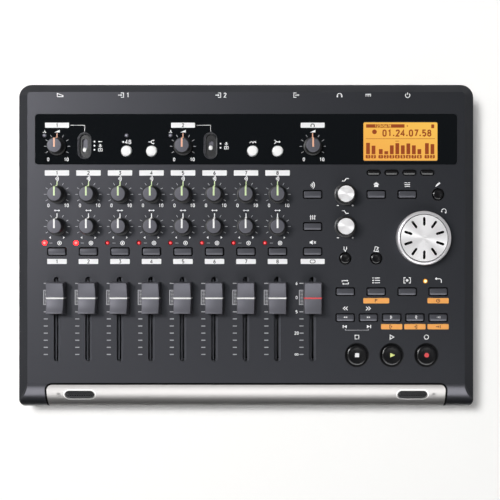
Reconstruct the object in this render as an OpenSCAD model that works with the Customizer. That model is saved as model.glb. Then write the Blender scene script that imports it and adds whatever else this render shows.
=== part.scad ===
// Desktop digital multitrack recorder: eight fader strips, a master strip, a black
// display fascia and a transport section in a low wedge-edged plastic case.
// The origin is under the middle of the case, on the table. +X is right, +Y is the
// rear (socket) side and +Z is up. Every control is a separate piece on its own travel.

/* [Plan, left to right] */
// Case side to the first fader strip
margin_left = 25; // [23:0.5:32]
// Spacing of the eight fader strips
track_pitch = 20; // [18:0.5:24]
// Last fader strip to the master strip
master_gap = 22.3; // [19:0.1:28]
// Master strip to the first key column
keys_gap = 20.7; // [17:0.1:26]
// Spacing of the four key columns
key_pitch = 19.65; // [18.5:0.05:23]
// Last key column to the case side
margin_right = 23.05; // [21:0.05:30]

/* [Plan, rear to front] */
// Rear edge of the case to the display fascia
margin_rear = 19.2; // [16:0.1:26]
// Depth of the display fascia
panel_d = 31.85; // [30:0.05:38]
// Fascia to the effect-send knob row
panel_to_send = 19.05; // [17:0.05:24]
// Effect-send knob row to the pan knob row
knob_row_pitch = 20.4; // [19:0.1:26]
// Pan knob row to the track record keys
pan_to_rec = 15.9; // [14:0.1:20]
// Track record keys to the rear end of the fader slots
rec_to_slot = 16; // [13:0.5:20]
// Length that a fader can travel
fader_travel = 45; // [40:1:60]
// Front end of the fader slots to where the front edge starts to curve
slot_to_nose = 14.1; // [12:0.1:20]
// Radius of the rounded front edge
nose_r = 16.2; // [13:0.1:17]

/* [Case shells] */
// Height of the rubber feet below the case
foot_h = 2; // [1.5:0.1:4]
// Thickness of the bottom shell's floor
floor_t = 2.5; // [2:0.1:3.5]
// Thickness of the case walls
wall_t = 2.5; // [2:0.1:3]
// Thickness of the control deck
deck_t = 2.5; // [2.2:0.1:3]
// Width of the sloping edge at both sides, seen from above
edge_side = 6.2; // [4:0.1:8]
// Width of the sloping edge at the rear, seen from above
edge_rear = 5.1; // [4:0.1:7]
// Height of the sloping edge
edge_drop = 4.5; // [3:0.1:6]
// Radius of the rear corners, seen from above
corner_r = 8; // [6:0.5:12]
// Depth of the socket bay under the rear edge
bay_d = 8; // [6:0.5:10]
// Width of the posts at both ends of the socket bay
bay_post = 17; // [14:0.5:20]

/* [Display fascia] */
// Gap between the case side and the fascia, seen from above
panel_side = 11.2; // [9:0.1:16]
// Thickness of the fascia sheet
panel_t = 1.2; // [0.8:0.1:1.4]
// Width of the lit display
lcd_w = 47.2; // [40:0.1:50]
// Depth of the lit display
lcd_d = 25.3; // [20:0.1:26]

/* [Knobs] */
// Radius of a pot knob's skirt
knob_base_r = 5.8; // [5:0.1:6.5]
// Radius of a pot knob's top edge
knob_top_r = 4.6; // [3.6:0.1:5]
// Height of a pot knob above the deck
knob_h = 9.5; // [8:0.1:14]
// Radius of an equaliser knob's skirt
eq_base_r = 7; // [6.3:0.1:7.6]
// Radius of an equaliser knob's bright cap
eq_cap_r = 5.25; // [4:0.05:5.4]
// Radius of the data wheel
wheel_r = 17.1; // [14:0.1:18]
// Radius of the data wheel's bright disc
disc_r = 15; // [11:0.1:15.4]
// Height of the data wheel above the deck
wheel_h = 8; // [6:0.1:9]
// Radius of a pot shaft
shaft_r = 2; // [1.5:0.1:2.5]

/* [Faders and keys] */
// Width of a fader cap at its top
cap_w = 10.5; // [8:0.1:12]
// Length of a fader cap
cap_l = 20.4; // [16:0.1:24]
// Height of a fader cap above the deck
cap_h = 9.4; // [7:0.1:12]
// Depth of the finger dish in a fader cap
cap_dish = 2.4; // [1:0.1:3]
// Width of a square-ended key
key_w = 11; // [9:0.1:12]
// Depth of a square-ended key
key_d = 4.1; // [3.4:0.1:5]
// Visible gap round a square-ended key
key_gap = 0.75; // [0.4:0.05:0.9]
// Height of a key above the deck
key_h = 1.2; // [0.6:0.1:2]
// Travel of a key
key_travel = 0.8; // [0.4:0.1:1]
// Radius of a transport button
transport_r = 6.2; // [5:0.1:7]
// Spacing of the transport buttons
transport_pitch = 22.05; // [18:0.05:24]

/* [Rear sockets] */
// Radius of a microphone socket's body
xlr_r = 10.2; // [10:0.1:11]
// Radius of a phone jack's bore, for a quarter-inch plug
phone_r = 3.2; // [3.18:0.01:3.3]
// Radius of a phono socket's barrel
phono_r = 4.15; // [4:0.01:4.2]

/* [Hidden] */
$fn = 48;
tracks = 8;
clear = 0.3;         // between a moving piece and what it moves in
seat_gap = 0.15;     // between two fixed pieces that fit together
bore_gap = 0.05;     // between a shaft and the bore it sits in
soft = 0.6;          // rounding of an edge that fingers touch
over = 1;            // how far a cutter passes a face
join = 0.5;          // how far two shapes of one piece run into each other

// Plan positions, from the case's left side and rear edge
case_w = margin_left + (tracks - 1) * track_pitch + master_gap + keys_gap
       + 3 * key_pitch + margin_right;
slot_l = fader_travel + 8.7;
case_d = margin_rear + panel_d + panel_to_send + knob_row_pitch + pan_to_rec
       + rec_to_slot + slot_l + slot_to_nose + nose_r;
master_x = -case_w / 2 + margin_left + (tracks - 1) * track_pitch + master_gap;
panel_rear_y = case_d / 2 - margin_rear;
panel_front_y = panel_rear_y - panel_d;
send_y = panel_front_y - panel_to_send;
pan_y = send_y - knob_row_pitch;
rec_y = pan_y - pan_to_rec;
slot_rear_y = rec_y - rec_to_slot;
slot_y = slot_rear_y - slot_l / 2;
nose_y = slot_rear_y - slot_l - slot_to_nose;
front_y = nose_y - nose_r;

function track_x(i) = -case_w / 2 + margin_left + i * track_pitch;
function column_x(j) = master_x + keys_gap + j * key_pitch;

// Heights, from the table up
floor_z = foot_h + floor_t;
socket_z = floor_z + 0.8 + xlr_r;
lip_z = socket_z + xlr_r + clear;
edge_z = lip_z + 1;
deck_z = edge_z + edge_drop;
under_z = deck_z - deck_t;
nose_z = deck_z - nose_r;
split_z = nose_z - 1.8;
board_t = 1.6;
parts_h = 8;         // room for pots and switches between board and deck
board_z = under_z - parts_h;

// Case details
chin = 2;            // bevel round the bottom edge
wall_in_y = case_d / 2 - bay_d - wall_t;
wall_out_y = case_d / 2 - bay_d;
bay_x = case_w / 2 - bay_post;
hollow_edge_z = edge_z - deck_t / 2;
boss_r = 3.5;
boss_x = case_w / 2 - 9;
boss_ys = [wall_in_y - 6.7, (send_y + slot_rear_y) / 2, nose_y + 9];
screw_r = 1.45;
screw_head_r = 2.8;
screw_sink = 4;
screw_head_h = 2;
board_head_r = 2.2;
board_head_h = 1.5;
screw_up = 12;       // how far a case screw reaches into the deck's boss

// Fascia and display
panel_x = case_w / 2 - panel_side;
panel_sink = 0.1;
panel_r = 2;
panel_z = deck_z - panel_sink - panel_t;
lcd_x = (column_x(1) + column_x(2)) / 2 + 5.6;
lcd_front = 1.9;     // from the fascia's front edge to the display
lcd_y = panel_front_y + lcd_front + lcd_d / 2;
lcd_rim = 3;
lcd_t = 4.5;
lcd_dip = 0.3;       // the display's face below the fascia's
lcd_r = 1;

// Controls on the fascia
trim_y = panel_rear_y - 20.4;
trim_pos = [[track_x(0), trim_y], [track_x(4), trim_y], [master_x, trim_y]];
switch_y = trim_y + 0.4;
switch_side = 17.5;
switch_pos = [[track_x(0) + switch_side, switch_y], [track_x(4) + switch_side, switch_y]];
switch_travel = [5.2, 2.6];
switch_ring = [8.6, 16.8];
switch_dish = [6.4, 14.4];
switch_dip = 1.2;
lever_w = 2.8;
lever_l = 3.2;
lever_foot = 1;      // how far a lever's foot reaches out on each side
lever_foot_t = 1;
slide_wall = 1;
slide_floor = 2;
slide_h = 6.4;
switch_l = lever_l + max(switch_travel) + 2 * (lever_foot + clear + slide_wall);
mode_r = 3.25;
mode_gap = 0.4;
mode_h = 1.4;
mode_y = panel_rear_y - 23.4;
mode_side = 15.9;
mode_pos = [[track_x(3) - mode_side, mode_y], [track_x(3), mode_y],
            [track_x(7) - mode_side, mode_y], [track_x(7), mode_y]];

// Main board and its screws
board_x = boss_x - boss_r - 2.5;
board_rear_y = switch_y + switch_l / 2 + clear;
board_front_y = nose_y + 5;
board_boss_r = 3;
board_screw_r = 1.1;
board_screw_l = 5.5;  // how far a board screw reaches into its boss
board_hole_gap = 0.2;
board_posts = [
    [(track_x(0) + track_x(1)) / 2, panel_front_y - 5.2],
    [(track_x(7) + master_x) / 2, panel_front_y - 5.2],
    [(track_x(0) + track_x(1)) / 2, rec_y - 8.5],
    [(track_x(7) + master_x) / 2, rec_y - 8.5],
    [(column_x(2) + column_x(3)) / 2, rec_y - 11.5],
    [(master_x + column_x(0)) / 2, slot_rear_y - slot_l - 4.5]];

// Jack board behind the rear sockets
jack_board_y = board_rear_y + 0.5;
socket_y = jack_board_y + board_t;

// Keys on the deck
fn_pitch = 11.35;
fn_w = 8;
fn_d = 2.7;
fn_gap = 0.6;
fn_h = 0.9;
fn_front = 2.2;      // from the display module to a function key's hole
fn_y = lcd_y - lcd_d / 2 - lcd_rim - fn_front - fn_d / 2 - fn_gap;
fn_pos = [for (i = [0:3]) [lcd_x + (i - 1.5) * fn_pitch, fn_y]];
rec_pos = [for (i = [0:tracks - 1]) [track_x(i), rec_y]];
master_pos = [[master_x, send_y], [master_x, pan_y], [master_x, rec_y]];
menu_pos = [[column_x(1), send_y], [column_x(2), send_y]];
round_r = 3.1;
round_gap = 0.9;
round_h = 1;
round_y = rec_y - 4.3;
round_pos = [[column_x(3), send_y], [column_x(0), round_y], [column_x(1), round_y]];
repeat_y = slot_rear_y - 9.5;
search_y = repeat_y - 16.5;
locate_pos = concat(
    [for (j = [0:3]) [column_x(j), repeat_y]],
    [for (k = [0:4]) [column_x(k * 0.75), search_y]]);
transport_y = search_y - 23.7;
transport_x = (column_x(0) + column_x(3)) / 2;
transport_ring = 1.6;
transport_gap = 0.35;
ring_dip = 1;        // depth of the dished ring
dish_r = 40;         // radius of a transport button's hollow top
dish_dip = 0.4;
transport_pos = [for (k = [-1:1]) [transport_x + k * transport_pitch, transport_y]];
flange = 1.1;        // how far a key's foot reaches under the deck
flange_t = 0.8;
key_r = 0.8;         // corners of a square-ended key
key_slope = 0.8;
stem_r = 1.5;
tact_w = 6;
tact_h = 4;
tact_floor = 1;
tact_gap = 0.2;

// Knobs
send_pos = [for (i = [0:tracks - 1]) [track_x(i), send_y]];
pan_pos = [for (i = [0:tracks - 1]) [track_x(i), pan_y]];
eq_pos = [[column_x(0), send_y], [column_x(0), pan_y]];
wheel_pos = [(column_x(2) + column_x(3)) / 2, pan_y - 7.4];
knob_gap = 0.4;      // under a knob
knob_skirt = 1.5;
eq_sink = 0.8;       // the bright cap's pocket in an equaliser knob
eq_cap_t = 1;
disc_sink = 1.3;     // the bright disc's pocket in the data wheel
disc_t = 1.1;
wheel_edge = 1.6;
wheel_foot = 0.5;
wheel_slot_w = 1.45;
pointer_w = 1.2;
pointer_back = 1.2;  // how far the pointer passes the knob's middle
pointer_t = 0.2;
bush_r = 3.4;
bush_dip = 0.5;      // a pot's bush ends this far below the deck's face
pot_w = 8.8;
pot_h = 6.2;
shaft_in = 1.2;      // wall left under the shaft in the pot
shaft_up = 5.5;      // how far the shaft stands above the deck

// Faders, which rest at the unity mark a fifth of the travel from the rear
fader_rest_y = slot_rear_y - 4.35 - fader_travel / 5;
fader_x = concat([for (i = [0:tracks - 1]) track_x(i)], [master_x]);
slot_w = 4.1;
cap_draft = 0.6;
cap_gap = 0.6;
cap_line = 1.1;
line_proud = 0.15;
cap_lean = 0.5;      // lean of a cap's two ends
cap_brow = 1.2;      // flat left at each end of the finger dish
lever_t = 1.2;
blade_l = 5;
rail_w = 7;
rail_h = 6.5;
rail_floor = 1.5;
rail_end = 3;
blade_up = 3.5;      // how far a lever reaches into its cap

// Indicator lamps
led_r = 1.4;
led_pos = concat(
    [for (i = [0:tracks - 1]) [track_x(i) - 8, rec_y + 5.5]],
    [[track_x(0) - 8, trim_y + 7], [track_x(4) - 8, trim_y + 7],
     [mode_pos[0][0], mode_y + 10], [column_x(3) - 8, repeat_y + 6.7]]);
led_proud = 0.4;

// Front trim bar and microphones
bar_side = 18;       // case side to the bar's end
bar_t = 2;
bar_gap = 0.5;
bar_back = 0.1;      // from where the front edge starts to curve to the bar's pocket
bar_r = 3.8;
bar_low = nose_z - 1;
mic_x = case_w / 2 - 39.1;
mic_tilt = 27;
mic_l = 18.9;
mic_w = 5.8;
mic_hole_r = 0.55;
mic_hole_pitch = 1.5;
mic_t = 1;
mic_ledge = 0.8;     // what the mesh rests on
capsule_r = 3;
capsule_h = 4;
// a capsule's flat face lies inside the case's curved inner wall
capsule_top = sqrt(pow(nose_r - bar_t - wall_t, 2) - capsule_r * capsule_r) - seat_gap;

// Card door, which folds down from the front wall
door_w = 38;
door_x = column_x(1) + 9;
door_t = 2;
hinge_z = floor_z + 1.4;
hinge_y = front_y + door_t / 2;
hinge_r = 0.5;
hinge_pin = 1.2;
door_top = split_z - 2;
door_gap = 0.25;
hinge_gap = 0.08;
card_box = [26, 28, 5];
card_slot = [24.2, 26, 2.4];
usb_box = [8, 9, 5];
usb_slot = [6.8, 7, 3];

// Rear sockets, from left to right
xlr_x = [track_x(1) + 10.5, track_x(4) + 12.5];
phone_x = [xlr_x[0] + 24, xlr_x[1] + 24, master_x + 17.1];
phono_x = [master_x - 17.9, master_x - 2.9];
dc_x = master_x + 35.2;
power_x = master_x + 60.3;
remote_x = track_x(0) + 2;
wall_gap = 0.2;      // between a socket's collar and its hole in the rear wall
xlr_groove = [7.9, 9.6];
xlr_depth = 13;
xlr_pin_at = 4.2;
xlr_pin_r = 1.25;
phone_box = [15, 14];
phone_collar = 5.3;
phone_depth = 21;
phono_box = [11, 14];
phono_flange = 0.4;
phono_pin_r = 1.7;
phono_pin_l = 4;
phono_l = bay_d - 0.2;
ring_proud = 0.5;
dc_box = [10, 11];
dc_collar = 4;
dc_r = 2.8;
dc_depth = 10;
dc_pin_r = 1;
remote_box = [9, 8];
remote_collar = 3.2;
remote_depth = 12;
remote_r = 1.3;
power_box = [9, 9];
power_box_l = 10;
power_wall = 3;
power_in = 2;        // how far the power button's head reaches inside the wall
power_r = 3.4;
power_proud = 5;
power_travel = 2.5;

// Feet
foot_r = 7;
foot_sink = 0.8;
foot_side = 30;      // case side to a foot's middle
foot_end = 16;       // rear wall, or start of the front curve, to a foot's middle
foot_pos = [for (sx = [-1, 1], y = [wall_in_y - foot_end, nose_y + foot_end])
    [sx * (case_w / 2 - foot_side), y]];

// Flat shapes

// Rectangle with round corners, about its middle
module round_rect(w, d, r) {
    square([w - 2 * r, d], center = true);
    square([w, d - 2 * r], center = true);
    for (sx = [-1, 1], sy = [-1, 1])
        translate([sx * (w / 2 - r), sy * (d / 2 - r)]) circle(r);
}

// Slot with half-round ends, its long side along Y
module slot_shape(w, l) {
    square([w, l - w], center = true);
    for (s = [-1, 1]) translate([0, s * (l - w) / 2]) circle(w / 2);
}

// Points of an arc, from angle a0 to a1
function arc(c, r, a0, a1, n = 6) =
    [for (i = [0:n]) c + r * [cos(a0 + (a1 - a0) * i / n), sin(a0 + (a1 - a0) * i / n)]];

// Placing

module at(pos, z) { translate([pos[0], pos[1], z]) children(); }

// Turns a flat shape in Y and Z into a bar of length l along X
module along_x(l) { rotate([90, 0, 90]) linear_extrude(height = l, center = true) children(); }

// Puts a shape on the rounded front edge, its own +Z along the edge's normal
module on_nose(x, r) {
    translate([x, nose_y, nose_z]) rotate([mic_tilt, 0, 0]) translate([0, 0, r]) children();
}

// Points a shape's own +Z to the rear
module to_rear(x, y) { translate([x, y, socket_z]) rotate([-90, 0, 0]) children(); }

// Case shells

// Four round posts at the corners of the case, from z_low up to z_top
module corner_posts(z_low, z_top, in_side, in_rear, r) {
    x = case_w / 2 - in_side - r;
    for (s = [-1, 1]) {
        translate([s * x, case_d / 2 - in_rear - r, z_low])
            cylinder(r = r, h = z_top - z_low, $fn = 32);
        translate([s * x, front_y - 3 + corner_r, z_low])
            cylinder(r = r, h = z_top - z_low, $fn = 32);
    }
}

// Everything behind the rounded front edge of radius r
module behind_nose(r) {
    along_x(case_w + 20) {
        translate([nose_y, -20]) square([case_d, deck_z + 40]);
        translate([nose_y, nose_z]) circle(r);
        translate([nose_y - r, -20]) square([r, nose_z + 20]);
    }
}

// The case's outer form from z_low up to the deck
module case_form(z_low) {
    intersection() {
        hull() {
            corner_posts(z_low, edge_z, 0, 0, corner_r);
            corner_posts(edge_z, deck_z, edge_side, edge_rear, corner_r / 4);
        }
        behind_nose(nose_r);
    }
}

// The hollow inside the case
module case_hollow(z_low) {
    intersection() {
        hull() {
            corner_posts(z_low, hollow_edge_z, wall_t, wall_t, corner_r - wall_t);
            corner_posts(hollow_edge_z, under_z, edge_side + wall_t / 3, edge_rear + wall_t / 3,
                corner_r / 4);
        }
        behind_nose(nose_r - wall_t - bar_t);
    }
}

// Cuts a flat shape through the deck at each place
module deck_cut(places) {
    for (p = places) at(p, under_z - over) linear_extrude(height = deck_t + 2 * over) children();
}

module deck_holes() {
    deck_cut(concat(send_pos, pan_pos, trim_pos, eq_pos, [wheel_pos])) circle(bush_r + clear);
    deck_cut([for (x = fader_x) [x, slot_y]]) slot_shape(slot_w, slot_l);
    deck_cut(concat(rec_pos, master_pos, menu_pos, locate_pos))
        round_rect(key_w + 2 * key_gap, key_d + 2 * key_gap, key_r + key_gap / 2);
    deck_cut(fn_pos) rotate(90) slot_shape(fn_d + 2 * fn_gap, fn_w + 2 * fn_gap);
    deck_cut(mode_pos) circle(mode_r + mode_gap);
    deck_cut(round_pos) circle(round_r + round_gap);
    deck_cut(transport_pos) circle(transport_r + transport_gap);
    deck_cut(led_pos) circle(led_r + seat_gap);
    deck_cut([[lcd_x, lcd_y]]) round_rect(lcd_w + 2 * seat_gap, lcd_d + 2 * seat_gap, lcd_r);
    for (i = [0, 1])
        deck_cut([switch_pos[i]]) slot_shape(lever_w + 2 * clear, lever_l + switch_travel[i] + 2 * clear);
}

// The dished ring round each transport button
module transport_dishes() {
    for (p = transport_pos) at(p, deck_z - ring_dip)
        cylinder(r1 = transport_r + transport_gap, r2 = transport_r + transport_ring,
            h = ring_dip + bore_gap);
}

// The fascia's pocket, with an oval ring left standing round each input switch
module fascia_pocket() {
    difference() {
        translate([0, (panel_rear_y + panel_front_y) / 2, panel_z])
            linear_extrude(height = panel_t + panel_sink + over)
                round_rect(2 * (panel_x + seat_gap), panel_d + 2 * seat_gap, panel_r);
        for (p = switch_pos)
            at(p, panel_z - over) linear_extrude(height = panel_t + panel_sink + over)
                slot_shape(switch_ring[0] - 2 * seat_gap, switch_ring[1] - 2 * seat_gap);
    }
    for (p = switch_pos)
        at(p, deck_z - switch_dip) linear_extrude(height = switch_dip + over)
            slot_shape(switch_dish[0], switch_dish[1]);
}

// The front bar's outline seen from above, grown by g
module bar_plan(g) {
    translate([0, nose_y - nose_r - bar_back - bar_gap])
        round_rect(case_w - 2 * bar_side + 2 * g, 2 * nose_r + 2 * g, bar_r);
}

// The pocket that the front bar lies in
module bar_pocket() {
    difference() {
        linear_extrude(height = deck_z + over) bar_plan(bar_gap);
        behind_nose(nose_r - bar_t - seat_gap);
        translate([-case_w, -case_d, -over]) cube([2 * case_w, 2 * case_d, bar_low + over - bar_gap]);
    }
}

module top_case() color("dimgray") {
    difference() {
        union() {
            difference() {
                case_form(split_z);
                case_hollow(split_z - over);
                translate([-bay_x, case_d / 2 - wall_t - over, split_z - over])
                    cube([2 * bay_x, wall_t + 2 * over, lip_z - split_z + over]);
            }
            for (s = [-1, 1], y = boss_ys)
                at([s * boss_x, y], split_z) cylinder(r = boss_r, h = under_z - split_z + join);
            for (p = board_posts)
                at(p, board_z) cylinder(r = board_boss_r, h = parts_h + join);
        }
        deck_holes();
        transport_dishes();
        fascia_pocket();
        bar_pocket();
        for (s = [-1, 1]) on_nose(s * mic_x, nose_r - bar_t - wall_t - over)
            linear_extrude(height = 2 * wall_t) rotate(90)
                slot_shape(mic_w - 2 * mic_ledge, mic_l - 2 * mic_ledge);
        for (s = [-1, 1], y = boss_ys)
            at([s * boss_x, y], split_z - over)
                cylinder(r = screw_r + bore_gap, h = screw_up + over + seat_gap);
        for (p = board_posts)
            at(p, board_z - over) cylinder(r = board_screw_r + bore_gap, h = board_screw_l + over + seat_gap);
    }
}

// The rear wall's socket holes
module wall_hole(x, r) { to_rear(x, wall_in_y - over) cylinder(r = r, h = wall_t + 2 * over); }

module rear_holes() {
    for (x = xlr_x) wall_hole(x, xlr_r - wall_gap);
    for (x = phone_x) wall_hole(x, phone_collar + wall_gap);
    for (x = phono_x) wall_hole(x, phono_r + phono_flange + wall_gap);
    wall_hole(dc_x, dc_collar + wall_gap);
    wall_hole(remote_x, remote_collar + wall_gap);
    wall_hole(power_x, power_r + clear);
}

// The opening in the front wall for the card door
module door_opening() {
    w = door_w + 2 * door_gap;
    translate([door_x - w / 2, front_y - over, hinge_z - door_t / 2 - door_gap])
        cube([w, wall_t + 2 * over, door_top - hinge_z + door_t / 2 + 2 * door_gap]);
    translate([door_x, hinge_y, hinge_z]) rotate([0, 90, 0])
        cylinder(r = hinge_r + hinge_gap, h = door_w + 2 * (hinge_pin + clear), center = true);
}

module bottom_case() color([0.13, 0.13, 0.14]) {
    difference() {
        union() {
            difference() {
                intersection() {
                    hull() {
                        corner_posts(foot_h, foot_h + chin, chin, chin, corner_r - chin);
                        corner_posts(foot_h + chin, split_z, 0, 0, corner_r);
                    }
                    translate([-case_w, front_y, 0]) cube([2 * case_w, 2 * case_d, 2 * split_z]);
                }
                intersection() {
                    hull() corner_posts(floor_z, split_z + over, wall_t, wall_t, corner_r - wall_t);
                    translate([-case_w, front_y + wall_t, 0]) cube([2 * case_w, 2 * case_d, 2 * split_z]);
                }
                translate([-bay_x, wall_out_y, 0]) cube([2 * bay_x, bay_d + over, 2 * split_z]);
            }
            translate([-bay_x - wall_t, wall_in_y, foot_h + chin])
                cube([2 * (bay_x + wall_t), wall_t, under_z - seat_gap - foot_h - chin]);
            for (s = [-1, 1])
                translate([s * (bay_x + wall_t / 2) - wall_t / 2, wall_in_y, foot_h + chin])
                    cube([wall_t, bay_d - seat_gap, hollow_edge_z - clear - foot_h - chin]);
            for (s = [-1, 1], y = boss_ys)
                at([s * boss_x, y], foot_h + over) cylinder(r = boss_r + 1, h = split_z - foot_h - over);
        }
        for (s = [-1, 1], y = boss_ys) at([s * boss_x, y], 0) {
            cylinder(r = screw_head_r + clear, h = foot_h + screw_sink);
            cylinder(r = screw_r + clear, h = split_z + over);
        }
        for (p = foot_pos) at(p, 0) cylinder(r = foot_r + seat_gap, h = foot_h + foot_sink);
        rear_holes();
        door_opening();
    }
}

module front_bar() color("silver") {
    difference() {
        intersection() {
            translate([0, 0, bar_low]) linear_extrude(height = deck_z) bar_plan(0);
            behind_nose(nose_r);
        }
        behind_nose(nose_r - bar_t);
        for (s = [-1, 1]) on_nose(s * mic_x, nose_r - bar_t - over)
            linear_extrude(height = bar_t + 2 * over) rotate(90) slot_shape(mic_w, mic_l);
    }
}

// Fascia and display

module display_fascia() color([0.05, 0.05, 0.06]) {
    difference() {
        translate([0, (panel_rear_y + panel_front_y) / 2, panel_z])
            linear_extrude(height = panel_t) round_rect(2 * panel_x, panel_d, panel_r);
        deck_cut(trim_pos) circle(bush_r + clear);
        deck_cut(mode_pos) circle(mode_r + mode_gap);
        deck_cut(led_pos) circle(led_r + seat_gap);
        deck_cut(switch_pos) slot_shape(switch_ring[0], switch_ring[1]);
        deck_cut([[lcd_x, lcd_y]]) round_rect(lcd_w + 2 * seat_gap, lcd_d + 2 * seat_gap, lcd_r);
    }
}

module lcd_module() color("orange") {
    at([lcd_x, lcd_y], under_z - lcd_t) linear_extrude(height = lcd_t)
        round_rect(lcd_w + 2 * lcd_rim, lcd_d + 2 * lcd_rim, lcd_r);
    at([lcd_x, lcd_y], under_z - over) linear_extrude(height = deck_t - panel_sink - lcd_dip + over)
        round_rect(lcd_w, lcd_d, lcd_r);
}

// Inner pieces

module circuit_boards() color("darkgreen") {
    difference() {
        translate([-board_x, board_front_y, board_z - board_t])
            cube([2 * board_x, board_rear_y - board_front_y, board_t]);
        for (p = board_posts)
            at(p, board_z - board_t - over)
                cylinder(r = board_screw_r + board_hole_gap, h = board_t + 2 * over);
    }
    translate([remote_x - remote_box[0], jack_board_y, floor_z])
        cube([power_x - remote_x + 2 * remote_box[0], board_t, board_z - board_t - seat_gap - floor_z]);
}

module xlr_socket(x) {
    difference() {
        union() {
            to_rear(x, socket_y) cylinder(r = xlr_r, h = wall_in_y - socket_y);
            to_rear(x, wall_in_y - over) cylinder(r = xlr_r - 2 * wall_gap, h = wall_t + ring_proud + over);
        }
        to_rear(x, wall_out_y - xlr_depth) difference() {
            cylinder(r = xlr_groove[1], h = xlr_depth + bay_d);
            translate([0, 0, -over]) cylinder(r = xlr_groove[0], h = xlr_depth + over);
        }
        for (a = [-90, 30, 150])
            to_rear(x, wall_out_y - xlr_depth + over) rotate(a) translate([xlr_pin_at, 0, 0])
                cylinder(r = xlr_pin_r, h = xlr_depth + bay_d);
    }
}

module xlr_sockets() color([0.1, 0.1, 0.1]) for (x = xlr_x) xlr_socket(x);

// A box on the jack board that reaches the rear wall
module socket_box(x, size) {
    translate([x - size[0] / 2, socket_y, socket_z - size[1] / 2])
        cube([size[0], wall_in_y - socket_y, size[1]]);
}

// A socket's collar in the rear wall
module collar(x, r, proud) { to_rear(x, wall_in_y - over) cylinder(r = r, h = wall_t + proud + over); }

module phone_jack(x) {
    difference() {
        union() {
            socket_box(x, phone_box);
            collar(x, phone_collar, ring_proud);
        }
        to_rear(x, wall_out_y + ring_proud - phone_depth) cylinder(r = phone_r, h = phone_depth + over);
    }
}

module phono_socket(x) {
    difference() {
        union() {
            socket_box(x, phono_box);
            collar(x, phono_r + phono_flange, 0);
            collar(x, phono_r, phono_l);
        }
        to_rear(x, wall_out_y - phono_pin_l) cylinder(r = phono_pin_r, h = phono_l + phono_pin_l + over);
    }
}

module dc_socket() {
    difference() {
        union() {
            socket_box(dc_x, dc_box);
            collar(dc_x, dc_collar, 0);
        }
        to_rear(dc_x, wall_out_y - dc_depth) difference() {
            cylinder(r = dc_r, h = dc_depth + over);
            translate([0, 0, -over]) cylinder(r = dc_pin_r, h = dc_depth);
        }
    }
}

module remote_jack() {
    difference() {
        union() {
            socket_box(remote_x, remote_box);
            collar(remote_x, remote_collar, ring_proud);
        }
        to_rear(remote_x, wall_out_y + ring_proud - remote_depth)
            cylinder(r = remote_r, h = remote_depth + over);
    }
}

// The housing that the power button's stem slides in
module power_switch() {
    difference() {
        translate([power_x - power_box[0] / 2, socket_y, socket_z - power_box[1] / 2])
            cube([power_box[0], power_box_l, power_box[1]]);
        to_rear(power_x, socket_y + power_wall) cylinder(r = stem_r + clear, h = power_box_l);
    }
}

module jack_sockets() color([0.16, 0.16, 0.17]) {
    for (x = phone_x) phone_jack(x);
    for (x = phono_x) phono_socket(x);
    dc_socket();
    remote_jack();
    power_switch();
}

module fader_rails() color("gray") for (x = fader_x) {
    difference() {
        translate([x - rail_w / 2, slot_y - slot_l / 2 - rail_end, board_z])
            cube([rail_w, slot_l + 2 * rail_end, rail_h]);
        translate([x - lever_t / 2 - clear, slot_y - slot_l / 2 + over, board_z + rail_floor])
            cube([lever_t + 2 * clear, slot_l - 2 * over, rail_h]);
    }
}

module rotary_pots() color("silver") {
    for (p = concat(send_pos, pan_pos, trim_pos, eq_pos, [wheel_pos])) difference() {
        union() {
            at(p, board_z + pot_h / 2) cube([pot_w, pot_w, pot_h], center = true);
            at(p, board_z + pot_h - over)
                cylinder(r = bush_r, h = deck_z - board_z - pot_h + over - bush_dip);
        }
        at(p, board_z + shaft_in) cylinder(r = shaft_r + bore_gap, h = deck_z - board_z);
    }
}

// A push switch on the board with a well for a key's stem
module tact_switch(p) {
    difference() {
        at(p, board_z + tact_h / 2) cube([tact_w, tact_w, tact_h], center = true);
        at(p, board_z + tact_floor) cylinder(r = stem_r + tact_gap, h = tact_h);
    }
}

// A slide switch with a channel for its lever's foot
module slide_switch(p, travel) {
    difference() {
        at(p, board_z + slide_h / 2)
            cube([lever_w + 2 * (lever_foot + clear + slide_wall), switch_l, slide_h], center = true);
        at(p, board_z + slide_floor + slide_h / 2)
            cube([lever_w + 2 * (lever_foot + clear), lever_l + travel + 2 * (lever_foot + clear), slide_h],
                center = true);
    }
}

module key_switches() color([0.2, 0.2, 0.2]) {
    for (p = concat(rec_pos, master_pos, menu_pos, locate_pos, fn_pos, mode_pos, round_pos,
                    transport_pos))
        tact_switch(p);
    for (i = [0, 1]) slide_switch(switch_pos[i], switch_travel[i]);
}

module indicator_lamps() color("red") for (p = led_pos) {
    at(p, board_z) rotate_extrude()
        polygon(concat([[0, 0], [led_r, 0]],
            arc([0, deck_z - board_z + led_proud - led_r], led_r, 0, 90)));
}

module microphones() color([0.1, 0.1, 0.1]) for (s = [-1, 1]) {
    on_nose(s * mic_x, nose_r - bar_t) difference() {
        linear_extrude(height = mic_t) rotate(90) slot_shape(mic_w - 2 * seat_gap, mic_l - 2 * seat_gap);
        for (row = [-1:1], k = [-5:5])
            translate([(k + (row == 0 ? 0.5 : 0)) * mic_hole_pitch, row * mic_hole_pitch * 0.87, -over])
                cylinder(r = mic_hole_r, h = mic_t + 2 * over);
    }
    on_nose(s * mic_x, capsule_top - capsule_h) cylinder(r = capsule_r, h = capsule_h);
}

// A socket box on the floor behind the card door, open to the front
module front_socket(x, box, hole) {
    y = front_y + wall_t + 2 * clear;
    difference() {
        translate([x - box[0] / 2, y, floor_z]) cube(box);
        translate([x - hole[0] / 2, y - over, floor_z + (box[2] - hole[2]) / 2])
            cube([hole[0], hole[1] + over, hole[2]]);
    }
}

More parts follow.
